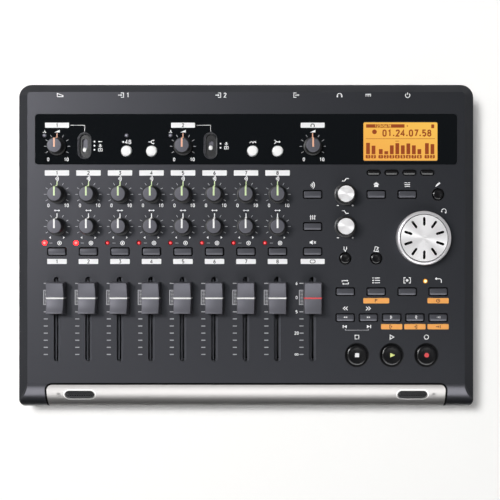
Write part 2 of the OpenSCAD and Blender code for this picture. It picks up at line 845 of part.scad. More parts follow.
module card_and_usb_sockets() color("silver") {
    front_socket(door_x - (door_w - card_box[0]) / 2 + over, card_box, card_slot);
    front_socket(door_x + (door_w - usb_box[0]) / 2 - over, usb_box, usb_slot);
}

module rubber_feet() color([0.08, 0.08, 0.08]) for (p = foot_pos)
    at(p, 0) rotate_extrude() polygon(concat([[0, 0]],
        arc([foot_r - soft, soft], soft, -90, 0), [[foot_r, foot_h + foot_sink], [0, foot_h + foot_sink]]));

module screw(p, z, r, l, head_r, head_h) {
    at(p, z) cylinder(r = r, h = l);
    at(p, z - head_h) cylinder(r = head_r, h = head_h);
}

module fixing_screws() color("silver") {
    for (s = [-1, 1], y = boss_ys)
        screw([s * boss_x, y], foot_h + screw_sink, screw_r,
            split_z + screw_up - foot_h - screw_sink, screw_head_r, screw_head_h);
    for (p = board_posts) 
        screw(p, board_z - board_t, board_screw_r, board_t + board_screw_l, board_head_r, board_head_h);
}

// Controls that turn

// Half outline of a pot knob, grown outward by g for its pointer
module knob_outline(g) {
    polygon(concat([[0, 0], [knob_base_r + g, 0], [knob_base_r + g, knob_skirt],
        [knob_base_r - soft + g, knob_skirt + soft / 2 + g]],
        arc([knob_top_r - soft, knob_h - knob_gap - soft], soft + g, 10, 90),
        [[0, knob_h - knob_gap + g]]));
}

module shaft(p) {
    at(p, board_z + shaft_in + seat_gap)
        cylinder(r = shaft_r, h = deck_z + shaft_up - board_z - shaft_in - seat_gap);
}

// Where a knob takes its shaft
module shaft_bore(p) {
    at(p, deck_z - over) cylinder(r = shaft_r + bore_gap, h = shaft_up + bore_gap + over);
}

module pot_knob(p) {
    difference() {
        at(p, deck_z + knob_gap) {
            rotate_extrude() knob_outline(0);
            intersection() {
                rotate_extrude() knob_outline(pointer_t);
                translate([-pointer_w / 2, -pointer_back, knob_skirt + join])
                    cube([pointer_w, 2 * knob_base_r, knob_h]);
            }
        }
        shaft_bore(p);
    }
    shaft(p);
}

module eq_knob(p) {
    top = knob_h - knob_gap;
    difference() {
        at(p, deck_z + knob_gap) rotate_extrude() difference() {
            polygon(concat([[0, 0], [eq_base_r, 0], [eq_base_r, knob_skirt]],
                arc([eq_cap_r, top - soft], soft, 10, 90), [[0, top]]));
            translate([0, top - eq_sink]) square([eq_cap_r, eq_sink + over]);
        }
        shaft_bore(p);
    }
    at(p, deck_z + knob_gap + top - eq_sink + bore_gap)
        cylinder(r1 = eq_cap_r - seat_gap, r2 = eq_cap_r - 2 * seat_gap, h = eq_cap_t);
    shaft(p);
}

// The ten finger slots of the data wheel's disc
module wheel_slots() {
    for (k = [0:9]) rotate(90 + 36 * k) translate([disc_r * 0.7, 0, 0]) rotate(90)
        slot_shape(wheel_slot_w, disc_r * 0.36);
}

module data_wheel() color("silver") {
    top = wheel_h - knob_gap;
    difference() {
        at(wheel_pos, deck_z + knob_gap) rotate_extrude() difference() {
            polygon(concat([[0, 0], [wheel_r - wheel_foot, 0], [wheel_r, wheel_foot]],
                arc([wheel_r - wheel_edge, top - wheel_edge], wheel_edge, 0, 90), [[0, top]]));
            translate([0, top - disc_sink]) square([disc_r + seat_gap, disc_sink + over]);
        }
        shaft_bore(wheel_pos);
    }
    at(wheel_pos, deck_z + knob_gap + top - disc_sink + bore_gap)
        linear_extrude(height = disc_t) difference() {
            circle(disc_r);
            wheel_slots();
        }
    shaft(wheel_pos);
}

// Controls that slide

// Side outline of a fader cap: a box with leaning ends and a finger dish
module cap_side() {
    h = cap_h - cap_gap;
    half = cap_l / 2 - cap_brow;
    r = (half * half + cap_dish * cap_dish) / (2 * cap_dish);
    difference() {
        polygon([[-cap_l / 2, 0], [cap_l / 2, 0], [cap_l / 2 - cap_lean, h], [cap_lean - cap_l / 2, h]]);
        translate([0, h - cap_dish + r]) circle(r);
    }
}

// End outline of a fader cap up to height h, grown outward by g
module cap_end(h, g) {
    lean = cap_draft * h / (cap_h - cap_gap);
    polygon([[-cap_w / 2 - cap_draft - g, 0], [cap_w / 2 + cap_draft + g, 0],
        [cap_w / 2 + cap_draft - lean + g, h], [lean - cap_draft - cap_w / 2 - g, h]]);
}

module fader(x) {
    color([0.45, 0.45, 0.48]) translate([x, fader_rest_y, deck_z + cap_gap]) difference() {
        union() {
            intersection() {
                rotate([90, 0, 0]) linear_extrude(height = cap_l + 2, center = true)
                    cap_end(cap_h - cap_gap, 0);
                along_x(cap_w + 4) cap_side();
            }
            rotate([90, 0, 0]) linear_extrude(height = cap_line, center = true)
                cap_end(cap_h - cap_gap - cap_dish + 2 * line_proud, line_proud);
        }
        translate([-lever_t / 2 - bore_gap, -blade_l / 2 - bore_gap, -over])
            cube([lever_t + 2 * bore_gap, blade_l + 2 * bore_gap, blade_up + bore_gap + over]);
    }
    low = board_z + rail_floor + clear;
    color("gainsboro") translate([x - lever_t / 2, fader_rest_y - blade_l / 2, low])
        cube([lever_t, blade_l, deck_z + cap_gap + blade_up - low]);
}

module input_switch(i) color("white") {
    p = switch_pos[i] - [0, switch_travel[i] / 2];
    low = board_z + slide_floor + clear;
    at(p, low + lever_foot_t / 2)
        cube([lever_w + 2 * lever_foot, lever_l + 2 * lever_foot, lever_foot_t], center = true);
    at(p, low + lever_foot_t / 2) linear_extrude(height = deck_z - low - lever_foot_t)
        slot_shape(lever_w, lever_l);
}

module power_button() color("gray") {
    head_l = power_in + wall_t + power_proud;
    stem_y = socket_y + power_wall + power_travel + clear;
    to_rear(power_x, wall_in_y - power_in) rotate_extrude()
        polygon(concat([[0, 0], [power_r, 0]],
            arc([power_r - soft, head_l - soft], soft, 0, 90), [[0, head_l]]));
    to_rear(power_x, stem_y) cylinder(r = stem_r, h = wall_in_y - power_in + join - stem_y);
}

module card_door() color([0.13, 0.13, 0.14]) {
    translate([door_x - door_w / 2, front_y, hinge_z]) cube([door_w, door_t, door_top - hinge_z]);
    translate([door_x, hinge_y, hinge_z]) rotate([0, 90, 0]) {
        cylinder(r = door_t / 2, h = door_w, center = true);
        cylinder(r = hinge_r, h = door_w + 2 * hinge_pin, center = true);
    }
}

// Keys: a cap that stands through the deck, a foot under it and a stem into its switch.
// The first child is the cap's outline and the second the foot's.
module key(p, h) {
    foot_z = under_z - clear - flange_t;
    stem_z = board_z + tact_floor + key_travel + clear;
    cap_z = foot_z + flange_t - join;
    at(p, cap_z) linear_extrude(height = deck_z + h - cap_z) children(0);
    at(p, foot_z) linear_extrude(height = flange_t) children(1);
    at(p, stem_z) cylinder(r = stem_r, h = foot_z + join - stem_z);
}

// A square-ended key, with its front and rear top edges sloped
module square_key(p) {
    difference() {
        key(p, key_h) {
            round_rect(key_w, key_d, key_r);
            round_rect(key_w + 2 * (key_gap + flange), key_d + 2 * (key_gap + flange), key_r);
        }
        for (s = [-1, 1]) at([p[0], p[1] + s * key_d / 2], deck_z + key_h)
            rotate([45, 0, 0]) cube([key_w + 2 * over, key_slope, key_slope], center = true);
    }
}

module round_key(p, r, gap, h) {
    key(p, h) {
        circle(r);
        circle(r + gap + flange);
    }
}

module mode_buttons() color("white") for (p = mode_pos) round_key(p, mode_r, mode_gap, mode_h);
module rec_keys() color("gray") for (p = rec_pos) square_key(p);
module master_keys() color("gray") for (p = master_pos) square_key(p);
module locate_keys() color("gray") for (p = locate_pos) square_key(p);

module menu_keys() {
    color("gray") for (p = menu_pos) square_key(p);
    color([0.1, 0.1, 0.1]) for (p = round_pos) round_key(p, round_r, round_gap, round_h);
}

module function_keys() color([0.2, 0.2, 0.22]) for (p = fn_pos)
    key(p, fn_h) {
        rotate(90) slot_shape(fn_d, fn_w);
        rotate(90) slot_shape(fn_d + 2 * (fn_gap + flange), fn_w + 2 * (fn_gap + flange / 2));
    }

// A transport button with a dished top
module transport_button(p) color([0.08, 0.08, 0.08]) {
    difference() {
        round_key(p, transport_r, transport_gap, key_h);
        at(p, deck_z + key_h + dish_r - dish_dip) sphere(dish_r);
    }
}

module stop_button() { transport_button(transport_pos[0]); }
module play_button() { transport_button(transport_pos[1]); }
module record_button() { transport_button(transport_pos[2]); }

// Every node by name

top_case();
bottom_case();
front_bar();
display_fascia();
lcd_module();
circuit_boards();
xlr_sockets();
jack_sockets();
fader_rails();
rotary_pots();
key_switches();
indicator_lamps();
microphones();
card_and_usb_sockets();
rubber_feet();
fixing_screws();
for (i = [1:tracks]) {
    fader(fader_x[i - 1]);
    color("dimgray") pot_knob(send_pos[i - 1]);
    color("dimgray") pot_knob(pan_pos[i - 1]);
}
fader(master_x);  // fader_master
color("dimgray") pot_knob(trim_pos[0]);  // trim_knob_a
color("dimgray") pot_knob(trim_pos[1]);  // trim_knob_b
color("dimgray") pot_knob(trim_pos[2]);  // phones_knob
color("gainsboro") eq_knob(eq_pos[0]);  // eq_high_knob
color("gainsboro") eq_knob(eq_pos[1]);  // eq_low_knob
data_wheel();
input_switch(0);  // input_switch_a
input_switch(1);  // input_switch_b
power_button();
card_door();
mode_buttons();
rec_keys();
master_keys();
function_keys();
menu_keys();
locate_keys();
stop_button();
play_button();
record_button();
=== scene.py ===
# %% [markdown]
# # A desktop multitrack recorder
# The recorder is a low plastic box with eight fader strips, a black display fascia and a
# transport section. The CAD frame already holds every solid in its place, in metres, with
# +X to the right, +Y to the rear and +Z up. This lesson dresses that frame: it measures
# the CAD boxes, builds finer surfaces over them and gives each one a real finish.

import math

import bmesh
import bpy
import numpy as np
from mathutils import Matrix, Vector


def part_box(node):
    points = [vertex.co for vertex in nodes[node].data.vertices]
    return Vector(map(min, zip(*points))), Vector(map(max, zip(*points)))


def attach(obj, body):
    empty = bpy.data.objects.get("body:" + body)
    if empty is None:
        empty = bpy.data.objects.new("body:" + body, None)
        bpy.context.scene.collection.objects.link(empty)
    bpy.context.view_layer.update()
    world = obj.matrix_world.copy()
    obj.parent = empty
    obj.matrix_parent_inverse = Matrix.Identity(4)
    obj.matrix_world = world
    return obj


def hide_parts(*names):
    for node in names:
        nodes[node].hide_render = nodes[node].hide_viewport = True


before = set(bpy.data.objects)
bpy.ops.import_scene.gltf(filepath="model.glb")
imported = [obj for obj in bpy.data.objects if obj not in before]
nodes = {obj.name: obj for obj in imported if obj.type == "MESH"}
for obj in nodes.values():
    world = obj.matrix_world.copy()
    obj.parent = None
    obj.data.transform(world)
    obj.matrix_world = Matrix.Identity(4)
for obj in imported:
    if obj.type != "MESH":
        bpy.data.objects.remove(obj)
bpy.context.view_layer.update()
MM = 0.001

# %% [markdown]
# ## Places
# Controls stand in rows and columns, so a few CAD boxes give every place. Reading them from
# the frame keeps each new surface exactly where its solid is. All sizes below are in
# millimetres, and one function at the end of each build turns them into metres.

# %% Rows, columns and heights
DECK_T = 2.5                            # thickness of the deck
INPUT_TRACKS = (0, 4)                   # the input controls stand over these two strips
WHEEL_COLUMN = 2.5                      # the wheel stands between the third and fourth column


def middle(node):
    """Middle of a CAD node's box: the mean of its lowest and highest corner."""
    low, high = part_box(node)
    return (np.array(low) + np.array(high)) / 2 / MM


def top(node):
    """Height of a CAD node's highest point."""
    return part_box(node)[1].z / MM


def base(node):
    """Height of a CAD node's lowest point."""
    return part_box(node)[0].z / MM


deck_z, fascia_z, screen_z = top("top_case"), top("display_fascia"), top("lcd_module")
under_z = deck_z - DECK_T
track_x = [middle(f"send_knob_{n}")[0] for n in range(1, 9)]
master_x = middle("fader_master")[0]
trim_x = [track_x[k] for k in INPUT_TRACKS] + [master_x]
send_y, pan_y, trim_y, rec_y, fader_y, mode_y = (
    middle(node)[1] for node in ("send_knob_1", "pan_knob_1", "trim_knob_a", "rec_keys", "fader_1",
                                 "mode_buttons"))
wheel_x, wheel_y = middle("data_wheel")[:2]
screen_x, screen_y = middle("lcd_module")[:2]
first_column = middle("eq_high_knob")[0]
key_pitch = (wheel_x - first_column) / WHEEL_COLUMN


def column(k):
    """X of the k-th key column; halves and quarters fall between columns."""
    return first_column + k * key_pitch


print("tracks at", np.round(track_x, 1), "columns at", [round(column(k), 1) for k in range(4)])

# %% [markdown]
# ## Camera
# The photograph looks straight down from about 70 cm above the deck, a little right of the
# middle, and the print is centred by a small lens shift. A long lens at that height gives the
# slight lean of the tall knobs away from the camera's foot point.

# %% Camera over the deck
EYE, EYE_HEIGHT = (18.4, -0.95), 700
LENS, LENS_SHIFT = 79.4, (-0.05, -0.004)
camera = bpy.data.objects.new("photo_camera", bpy.data.cameras.new("photo_camera"))
camera.location = (EYE[0] * MM, EYE[1] * MM, (deck_z + EYE_HEIGHT) * MM)
camera.data.lens = LENS
camera.data.shift_x, camera.data.shift_y = LENS_SHIFT
bpy.context.scene.collection.objects.link(camera)
bpy.context.scene.camera = camera
bpy.context.scene.view_settings.view_transform = "Standard"
print("frame width at the deck:", round(EYE_HEIGHT * camera.data.sensor_width / LENS, 1), "mm")

# %% [markdown]
# ## Colour and nodes
# Finishes are written as the hex colours a colour picker shows, and the shader wants linear
# light, so one function undoes the display curve. A second one adds any shader node: it sets
# the properties and sockets that it is given and makes the links. Mix and Math nodes name
# several sockets alike, so theirs are given by number.

# %% Two helpers for materials
WHITE = (1, 1, 1, 1)


def srgb(code, gain=1.0):
    """Linear colour of a hex value: ((c + 0.055) / 1.055) ** 2.4, or c / 12.92 near black."""
    c = np.array([int(code[i:i + 2], 16) for i in (1, 3, 5)]) / 255
    linear = np.where(c > 0.04045, ((c + 0.055) / 1.055) ** 2.4, c / 12.92) * gain
    return (*np.clip(linear, 0, 1).tolist(), 1.0)


def add(tree, kind, links=None, values=None, **settings):
    """One node of a kind. A setting names a property, or a socket with _ for each space."""
    node = tree.nodes.new(kind)
    for key, value in settings.items():
        if hasattr(node, key):
            setattr(node, key, value)
        else:
            node.inputs[key.replace("_", " ")].default_value = value
    for key, value in (values or {}).items():
        node.inputs[key].default_value = value
    for key, source in (links or {}).items():
        tree.links.new(source, node.inputs[key])
    return node


print("white is", srgb("#ffffff"), "and mid grey is", round(srgb("#808080")[0], 3))

# %% [markdown]
# ## Moulded and coated surfaces
# A moulded part copies the fine relief of its steel mould, and a coating has its own orange
# peel. Both are noise of about a grain's width: it bumps the surface, moves the roughness a
# little and, over a larger patch, shifts the colour by a few per cent. Real grain is about a
# tenth of a millimetre, too fine to show here, so it is drawn a few times coarser.

# %% A surface with a grain
PATCH = 18                              # a patch of colour is this many grains wide


def surface(name, code, roughness, grain=0.6, depth=0.01, mottle=0.05, spread=0.06, **settings):
    """Principled surface with noise of width grain (mm) and height depth (mm) on it. The same
    noise moves the roughness by spread either way, and wide patches move the colour by mottle."""
    material = bpy.data.materials.new(name)
    material.use_nodes = True
    tree = material.node_tree
    tree.nodes.clear()
    place = add(tree, "ShaderNodeTexCoord")
    fine = add(tree, "ShaderNodeTexNoise", {"Vector": place.outputs["Object"]},
               Scale=1 / (grain * MM), Detail=3.0)
    patch = add(tree, "ShaderNodeTexNoise", {"Vector": place.outputs["Object"]},
                Scale=1 / (PATCH * grain * MM), Detail=2.0)
    colour = add(tree, "ShaderNodeMix", {0: patch.outputs["Fac"]},
                 {6: srgb(code, 1 - mottle), 7: srgb(code, 1 + mottle)}, data_type="RGBA")
    gloss = add(tree, "ShaderNodeMapRange", {"Value": fine.outputs["Fac"]},
                To_Min=roughness - spread, To_Max=roughness + spread)
    bump = add(tree, "ShaderNodeBump", {"Height": fine.outputs["Fac"]}, Distance=depth * MM)
    shader = add(tree, "ShaderNodeBsdfPrincipled",
                 {"Base Color": colour.outputs[2], "Roughness": gloss.outputs["Result"],
                  "Normal": bump.outputs["Normal"]}, **settings)
    add(tree, "ShaderNodeOutputMaterial", {"Surface": shader.outputs["BSDF"]})
    return material


COOL = (0.90, 0.89, 1.0, 1.0)           # tint of the sheen on the dark plastics
# Charcoal ABS with a spark-eroded texture: a soft, slightly blue sheen that never mirrors.
charcoal_abs = surface("charcoal_abs_spark_eroded", "#202225", 0.43, grain=0.7, depth=0.03,
                       Specular_Tint=COOL, Specular_IOR_Level=0.42)
# The rounded nose of the same moulding is rubbed smoother, so the front light draws a band on it.
nose_abs = surface("charcoal_abs_satin_nose", "#202225", 0.30, grain=0.7, depth=0.001, spread=0.02,
                   Specular_Tint=COOL, Specular_IOR_Level=0.8)
# Black ABS of the lower shell and card door, a little finer and deeper in tone.
black_abs = surface("black_abs_fine_texture", "#1c1c1e", 0.45, grain=0.5, depth=0.02)
# Wells and switch bezels: smooth black ABS, so that their rims catch light.
smooth_abs = surface("black_abs_polished", "#1b1b1d", 0.36, grain=1.2, depth=0.002)
# Fascia: cast acrylic printed black behind, so a deep gloss over a colour with no texture.
black_acrylic = surface("black_acrylic_cast", "#0e1114", 0.04, grain=4, depth=0.0006, mottle=0.02,
                        spread=0.02)
# Front bar: aluminium with a satin lacquer, bright where it faces the light.
satin_bar = surface("satin_lacquered_aluminium", "#9a9897", 0.43, grain=0.4, depth=0.003,
                    mottle=0.02, Metallic=0.9)
# Fader caps: grey ABS with a soft matt texture.
fader_abs = surface("fader_grey_abs_matt", "#56565c", 0.5, grain=0.5, depth=0.012,
                    Specular_IOR_Level=0.55, Specular_Tint=COOL)
# Keys: mid-grey ABS, rubbed smooth on top, with a satin sheen.
key_abs = surface("key_grey_abs_satin", "#45464b", 0.36, grain=0.6, depth=0.01, Specular_Tint=COOL)
# Knobs: charcoal ABS, matt on the flat top. The drafted side and the skirt are painted near black, a
# painted shade of the sides that turn away from the light.
knob_top_abs = surface("knob_top_abs_matt", "#4d4d53", 0.45, grain=0.5, depth=0.02, Specular_Tint=COOL)
knob_side_painted_shade = surface("knob_side_abs_painted_shade", "#121214", 0.48, grain=0.5, depth=0.015)
# Transport, menu and function buttons: black ABS from a polished mould.
gloss_black = surface("black_abs_polished_mould", "#121214", 0.24, grain=2, depth=0.001)
# Mode buttons: milky ABS, so pale that it looks lit from inside.
milky_white = surface("milky_white_abs", "#f6f6f5", 0.30, grain=0.8, depth=0.004, mottle=0.02)
# Wheel rim: ABS with vacuum-plated satin aluminium.
plated_rim = surface("vacuum_plated_abs_satin", "#dedcdf", 0.33, grain=0.4, depth=0.004,
                     mottle=0.02, Metallic=0.45)
print("mouldings and bar:", len(bpy.data.materials))

# %% [markdown]
# ## Metals, rubber and ink
# Plated and machined metals are bright and only lightly grained, and the grille lips are made brighter
# still, a painted highlight. Felt and rubber are the opposite: they swallow light, which is what a dust lip
# looks like, and a black strip along the bar is a painted shadow of the gap there. Inks are screen printed,
# so they lie flat and dry, and the knobs' pointers are pale plastics pressed in.

# %% Small parts, inks and inlays
# Moulded sockets and their coloured inserts: plain nylon with a dull sheen.
socket_nylon = surface("black_nylon_moulded", "#161617", 0.5, grain=0.4, depth=0.015)
red_ring = surface("red_nylon_moulded", "#a81e1b", 0.4, grain=0.4, depth=0.01)
white_ring = surface("white_nylon_moulded", "#dcdad4", 0.4, grain=0.4, depth=0.01)
# Plated contacts, shafts and screws mirror the room, and the rails and mesh are blackened.
nickel = surface("bright_nickel_plate", "#c9c4ba", 0.16, grain=0.3, depth=0.002, Metallic=1.0)
gilt = surface("gold_flash_contacts", "#d8b15a", 0.2, grain=0.3, depth=0.002, Metallic=1.0)
zinc = surface("zinc_plated_steel", "#a9abae", 0.3, grain=0.3, depth=0.006, Metallic=1.0)
rail_steel = surface("black_passivated_steel", "#2c2d2f", 0.5, grain=0.4, depth=0.008, Metallic=0.4)
mesh_steel = surface("black_coated_steel_mesh", "#1f1f21", 0.5, grain=0.3, depth=0.01,
                     Specular_IOR_Level=0.32)
# The lip of the grille slots is a real bevel, given a colour brighter than the lacquered bar: a painted
# highlight round the slots.
lip_painted_highlight = surface("aluminium_lip_painted_highlight", "#dcdad9", 0.3, grain=0.3, depth=0.002, Metallic=0.75)
# The circuit boards' lacquer, and the rubber of the feet.
board_resin = surface("green_solder_mask", "#1f4a2c", 0.3, grain=0.8, depth=0.01, mottle=0.12)
foot_rubber = surface("black_foot_rubber", "#141414", 0.75, grain=0.5, depth=0.03)
# A black strip round the bar, a painted shadow of the gap between the bar and the deck.
seam_painted_shadow = surface("black_seam_painted_shadow", "#0b0b0c", 0.9, grain=0.4, depth=0.02, Specular_IOR_Level=0.05)
# Dust lips in the fader slots: a soft felt that shows the light without any gloss.
dust_felt = surface("charcoal_felt_pressed", "#4b4c51", 0.85, grain=0.25, depth=0.04,
                    Specular_IOR_Level=0.1)


def ink(colour, code, roughness=0.6, mottle=0.05):
    """A dry, slightly uneven film of screen-printing ink."""
    return surface(colour + "_screen_ink", code, roughness, grain=0.3, depth=0.004, mottle=mottle)


def inlay(colour, code):
    """A pale plastic pressed into a cap, smoother than ink."""
    return surface(colour + "_abs_inlay", code, 0.4, grain=0.4, depth=0.004)


white_ink, grey_ink = ink("white", "#eeeeef", mottle=0.03), ink("grey", "#9d9da1")
dark_ink, pale_ink = ink("charcoal", "#2c2c30"), ink("pale_grey", "#8f8d8c")
orange_ink, brown_ink = ink("orange", "#f0a44c"), ink("brown", "#7a4413")
red_ink, lime_ink = ink("red", "#dc4448", 0.5), ink("lime", "#dfe98f", 0.5)
green_inlay, white_inlay = inlay("pale_green", "#cfe3ae"), inlay("white", "#eeeeec")
salmon_inlay = inlay("salmon", "#eab093")
print("surface finishes:", len(bpy.data.materials))

# %% [markdown]
# ## Spun aluminium
# The data wheel's disc and the equaliser caps are turned on a lathe, so they carry fine rings
# about their own middle. The rings tilt the mirror inwards and outwards and spread the light
# along the radii, into the bright and dark fans that such a disc shows. A Mapping node puts
# the origin at the piece's axis: from there a wave texture draws the rings, and the way from
# the axis is the direction in which the highlight is stretched.

# %% Rings about a centre
RING_PITCH, RING_DEPTH = 0.45, 0.004
WAVE_PERIOD = math.pi / 10              # a wave texture of scale 1 repeats over this length


def spun(name, centre):
    """Metal whose height is depth * sin(2 pi r / pitch) at the distance r from the centre, and whose
    highlight is stretched along r."""
    material = surface(name, "#fdfcfd", 0.33, grain=0.4, depth=RING_DEPTH, mottle=0.01, Metallic=0.36,
                       Anisotropic=0.8)
    tree = material.node_tree
    arm = add(tree, "ShaderNodeMapping", {"Vector": tree.nodes["Texture Coordinate"].outputs["Object"]},
              Location=(-centre[0] * MM, -centre[1] * MM, 0))
    rings = add(tree, "ShaderNodeTexWave", {"Vector": arm.outputs["Vector"]}, wave_type="RINGS",
                rings_direction="Z", Scale=WAVE_PERIOD / (RING_PITCH * MM))
    radial = add(tree, "ShaderNodeVectorTransform", {"Vector": arm.outputs["Vector"]},
                 vector_type="VECTOR", convert_from="OBJECT", convert_to="WORLD")
    tree.links.new(rings.outputs["Fac"], tree.nodes["Bump"].inputs["Height"])
    tree.links.new(radial.outputs["Vector"], tree.nodes["Principled BSDF"].inputs["Tangent"])
    return material


wheel_metal = spun("spun_aluminium_wheel", (wheel_x, wheel_y))
cap_metals = {node: spun("spun_aluminium_" + node, middle(node)[:2])
              for node in ("eq_high_knob", "eq_low_knob")}
print("rings every", RING_PITCH, "mm on", 1 + len(cap_metals), "turned faces")

# %% [markdown]
# ## Things that glow
# The display is a liquid crystal over an amber backlight: brightest near the lamp at its
# upper right and deeper at the lower left. Lamps are small domes of tinted resin with a hot
# core over the chip, and a lit one sends its own light onto the deck, so emission is the
# honest way to make both.

# %% Backlight and lamps
SCREEN_W, SCREEN_D = 47.0, 24.3
LAMP_WAY, LAMP_REACH = (0.6, 0.8), 0.7  # where the backlight's lamp lies, and how far its light falls off


def glowing(name, code, glow, strength, roughness=0.25):
    """A tinted surface that also sends out light of its own colour."""
    return surface(name, code, roughness, grain=0.8, depth=0.002, mottle=0.04,
                   Emission_Color=srgb(glow), Emission_Strength=strength)


def smoked(name, code):
    """Clear dark resin of a lamp that is off."""
    return surface(name, code, 0.25, grain=0.8, depth=0.002)


amber_glass = glowing("amber_backlit_glass", "#5a3a10", "#ffb63c", 0.92, 0.12)
tree = amber_glass.node_tree
lamp_side = add(tree, "ShaderNodeVectorMath", {0: tree.nodes["Texture Coordinate"].outputs["Object"]},
                {1: (LAMP_WAY[0] / (SCREEN_W * MM), LAMP_WAY[1] / (SCREEN_D * MM), 0)},
                operation="DOT_PRODUCT")
start = LAMP_WAY[0] * screen_x / SCREEN_W + LAMP_WAY[1] * screen_y / SCREEN_D
ramp = add(tree, "ShaderNodeMapRange", {"Value": lamp_side.outputs["Value"]},
           From_Min=start - LAMP_REACH, From_Max=start + LAMP_REACH)
tint = add(tree, "ShaderNodeMix", {0: ramp.outputs["Result"]},
           {6: srgb("#f2ac54"), 7: srgb("#f8c65a")}, data_type="RGBA")
tree.links.new(tint.outputs[2], tree.nodes["Principled BSDF"].inputs["Emission Color"])
crystal_ink = glowing("dark_liquid_crystal", "#5a2208", "#a04c20", 0.62, 0.3)
lamp_rims = {"bright": glowing("red_resin_bright_rim", "#c01822", "#ff0a0c", 25.0),
             "lit": glowing("red_resin_rim", "#40080c", "#8c1016", 0.8),
             "amber": glowing("amber_resin_rim", "#b07a20", "#f0a030", 0.7),
             "off": smoked("smoked_resin_rim", "#57575c")}
lamp_cores = {"bright": glowing("red_resin_hot_core", "#c07070", "#ffaaa6", 0.7),
              "lit": glowing("red_resin_core", "#b8202a", "#f04a4c", 0.85),
              "amber": glowing("amber_resin_core", "#ffe7a8", "#ffe3a4", 1.1),
              "off": smoked("smoked_resin_core", "#8b8b98")}
print("amber glass, liquid crystal and", len(lamp_rims), "lamp resins")

# %% [markdown]
# ## Light, floor and room
# Short shadows fall to the right, the deck shines at the upper left and darkens to the right,
# and the turned discs show bright fans. A softbox overhead, a little to the left, gives the
# light and the shadows. Two panels only show in reflections: one far on the left gives the
# sheen and the fans, and a wide one in front draws the bright band along the rounded bar and
# the thin crescents on the buttons. The room is dim, so the glossy fascia stays black, and a
# dark card low in front gives the bar its dark lower edge, as such cards do in a studio.

# %% Softboxes
def softbox(name, place, aim, size, watts, **visibility):
    """A rectangular area lamp at place that faces aim, all in metres."""
    lamp = bpy.data.lights.new(name, "AREA")
    lamp.shape = "RECTANGLE"
    lamp.size, lamp.size_y = size
    lamp.energy = watts
    box = bpy.data.objects.new(name, lamp)
    box.location = place
    box.rotation_euler = (Vector(aim) - Vector(place)).to_track_quat("-Z", "Y").to_euler()
    for key, value in visibility.items():
        setattr(box, key, value)
    bpy.context.scene.collection.objects.link(box)
    return box


DECK_AIM, BAR_AIM = (0.0, 0.0, 0.03), (0.0, -0.09, 0.02)
softbox("top_softbox", place=(-0.40, 0.36, 1.55), aim=DECK_AIM, size=(0.4, 0.4), watts=24.6,
        visible_glossy=False)
softbox("left_panel", place=(-0.92, 0.40, 1.45), aim=DECK_AIM, size=(0.42, 0.42), watts=33.0,
        visible_diffuse=False, visible_transmission=False)
softbox("front_panel", place=(0.0, -0.85, 0.82), aim=BAR_AIM, size=(1.3, 0.82), watts=15.6,
        visible_diffuse=False, visible_transmission=False)

# %% Room
world = bpy.data.worlds.new("studio_room")
world.use_nodes = True
bpy.context.scene.world = world
tree = world.node_tree
tree.nodes.clear()
way = add(tree, "ShaderNodeTexCoord")
height = add(tree, "ShaderNodeSeparateXYZ", {"Vector": way.outputs["Generated"]})
fall = add(tree, "ShaderNodeMapRange", {"Value": height.outputs["Z"]}, From_Min=0.15, From_Max=0.75,
           To_Min=0.30, To_Max=0.06)
rays = add(tree, "ShaderNodeLightPath")
level = add(tree, "ShaderNodeMix", {0: rays.outputs["Is Camera Ray"], 2: fall.outputs["Result"]}, {3: 1.0})
sky = add(tree, "ShaderNodeBackground", {"Strength": level.outputs[0]}, Color=WHITE)
add(tree, "ShaderNodeOutputWorld", {"Surface": sky.outputs["Background"]})
print("room is white to the camera and dim to everything else")

# %% Paper floor and dark card
FLOOR_REACH, FLOOR_LIFT = 6.0, 0.20
CARD = {"half": 0.30, "y": -0.125, "low": 0.001, "high": 0.04}
# White paper: matt near the recorder, where shadows fall, and plain white further off.
paper = bpy.data.materials.new("white_paper_floor")
paper.use_nodes = True
tree = paper.node_tree
tree.nodes.clear()
place = add(tree, "ShaderNodeTexCoord")
reach = add(tree, "ShaderNodeVectorMath", {0: place.outputs["Object"]}, operation="LENGTH")
far = add(tree, "ShaderNodeMapRange", {"Value": reach.outputs["Value"]}, From_Min=0.2, From_Max=0.6,
          interpolation_type="SMOOTHSTEP")
rays = add(tree, "ShaderNodeLightPath")
direct = add(tree, "ShaderNodeMath", {0: rays.outputs["Is Camera Ray"], 1: rays.outputs["Is Glossy Ray"]},
             operation="MAXIMUM")
seen = add(tree, "ShaderNodeMath", {0: direct.outputs[0], 1: rays.outputs["Is Transmission Ray"]},
           operation="MAXIMUM")
lift = add(tree, "ShaderNodeMath", {0: rays.outputs["Is Camera Ray"]}, {1: FLOOR_LIFT},
           operation="MULTIPLY")
white = add(tree, "ShaderNodeMath", {0: seen.outputs[0], 1: far.outputs["Result"]}, operation="MULTIPLY")
matt = add(tree, "ShaderNodeBsdfDiffuse", Color=srgb("#f1f0ee"))
glow = add(tree, "ShaderNodeEmission", {"Strength": lift.outputs[0]}, Color=WHITE)
lit = add(tree, "ShaderNodeAddShader", {0: matt.outputs[0], 1: glow.outputs[0]})
plain = add(tree, "ShaderNodeEmission", Color=WHITE, Strength=1.0)
both = add(tree, "ShaderNodeMixShader", {0: white.outputs[0], 1: lit.outputs[0], 2: plain.outputs[0]})
add(tree, "ShaderNodeOutputMaterial", {"Surface": both.outputs[0]})


def sheet(name, corners, finish):
    """One rectangle that belongs to the studio and not to the recorder."""
    mesh = bpy.data.meshes.new(name)
    mesh.from_pydata(corners, [], [(0, 1, 2, 3)])
    mesh.materials.append(finish)
    thing = bpy.data.objects.new(name, mesh)
    bpy.context.scene.collection.objects.link(thing)
    return thing


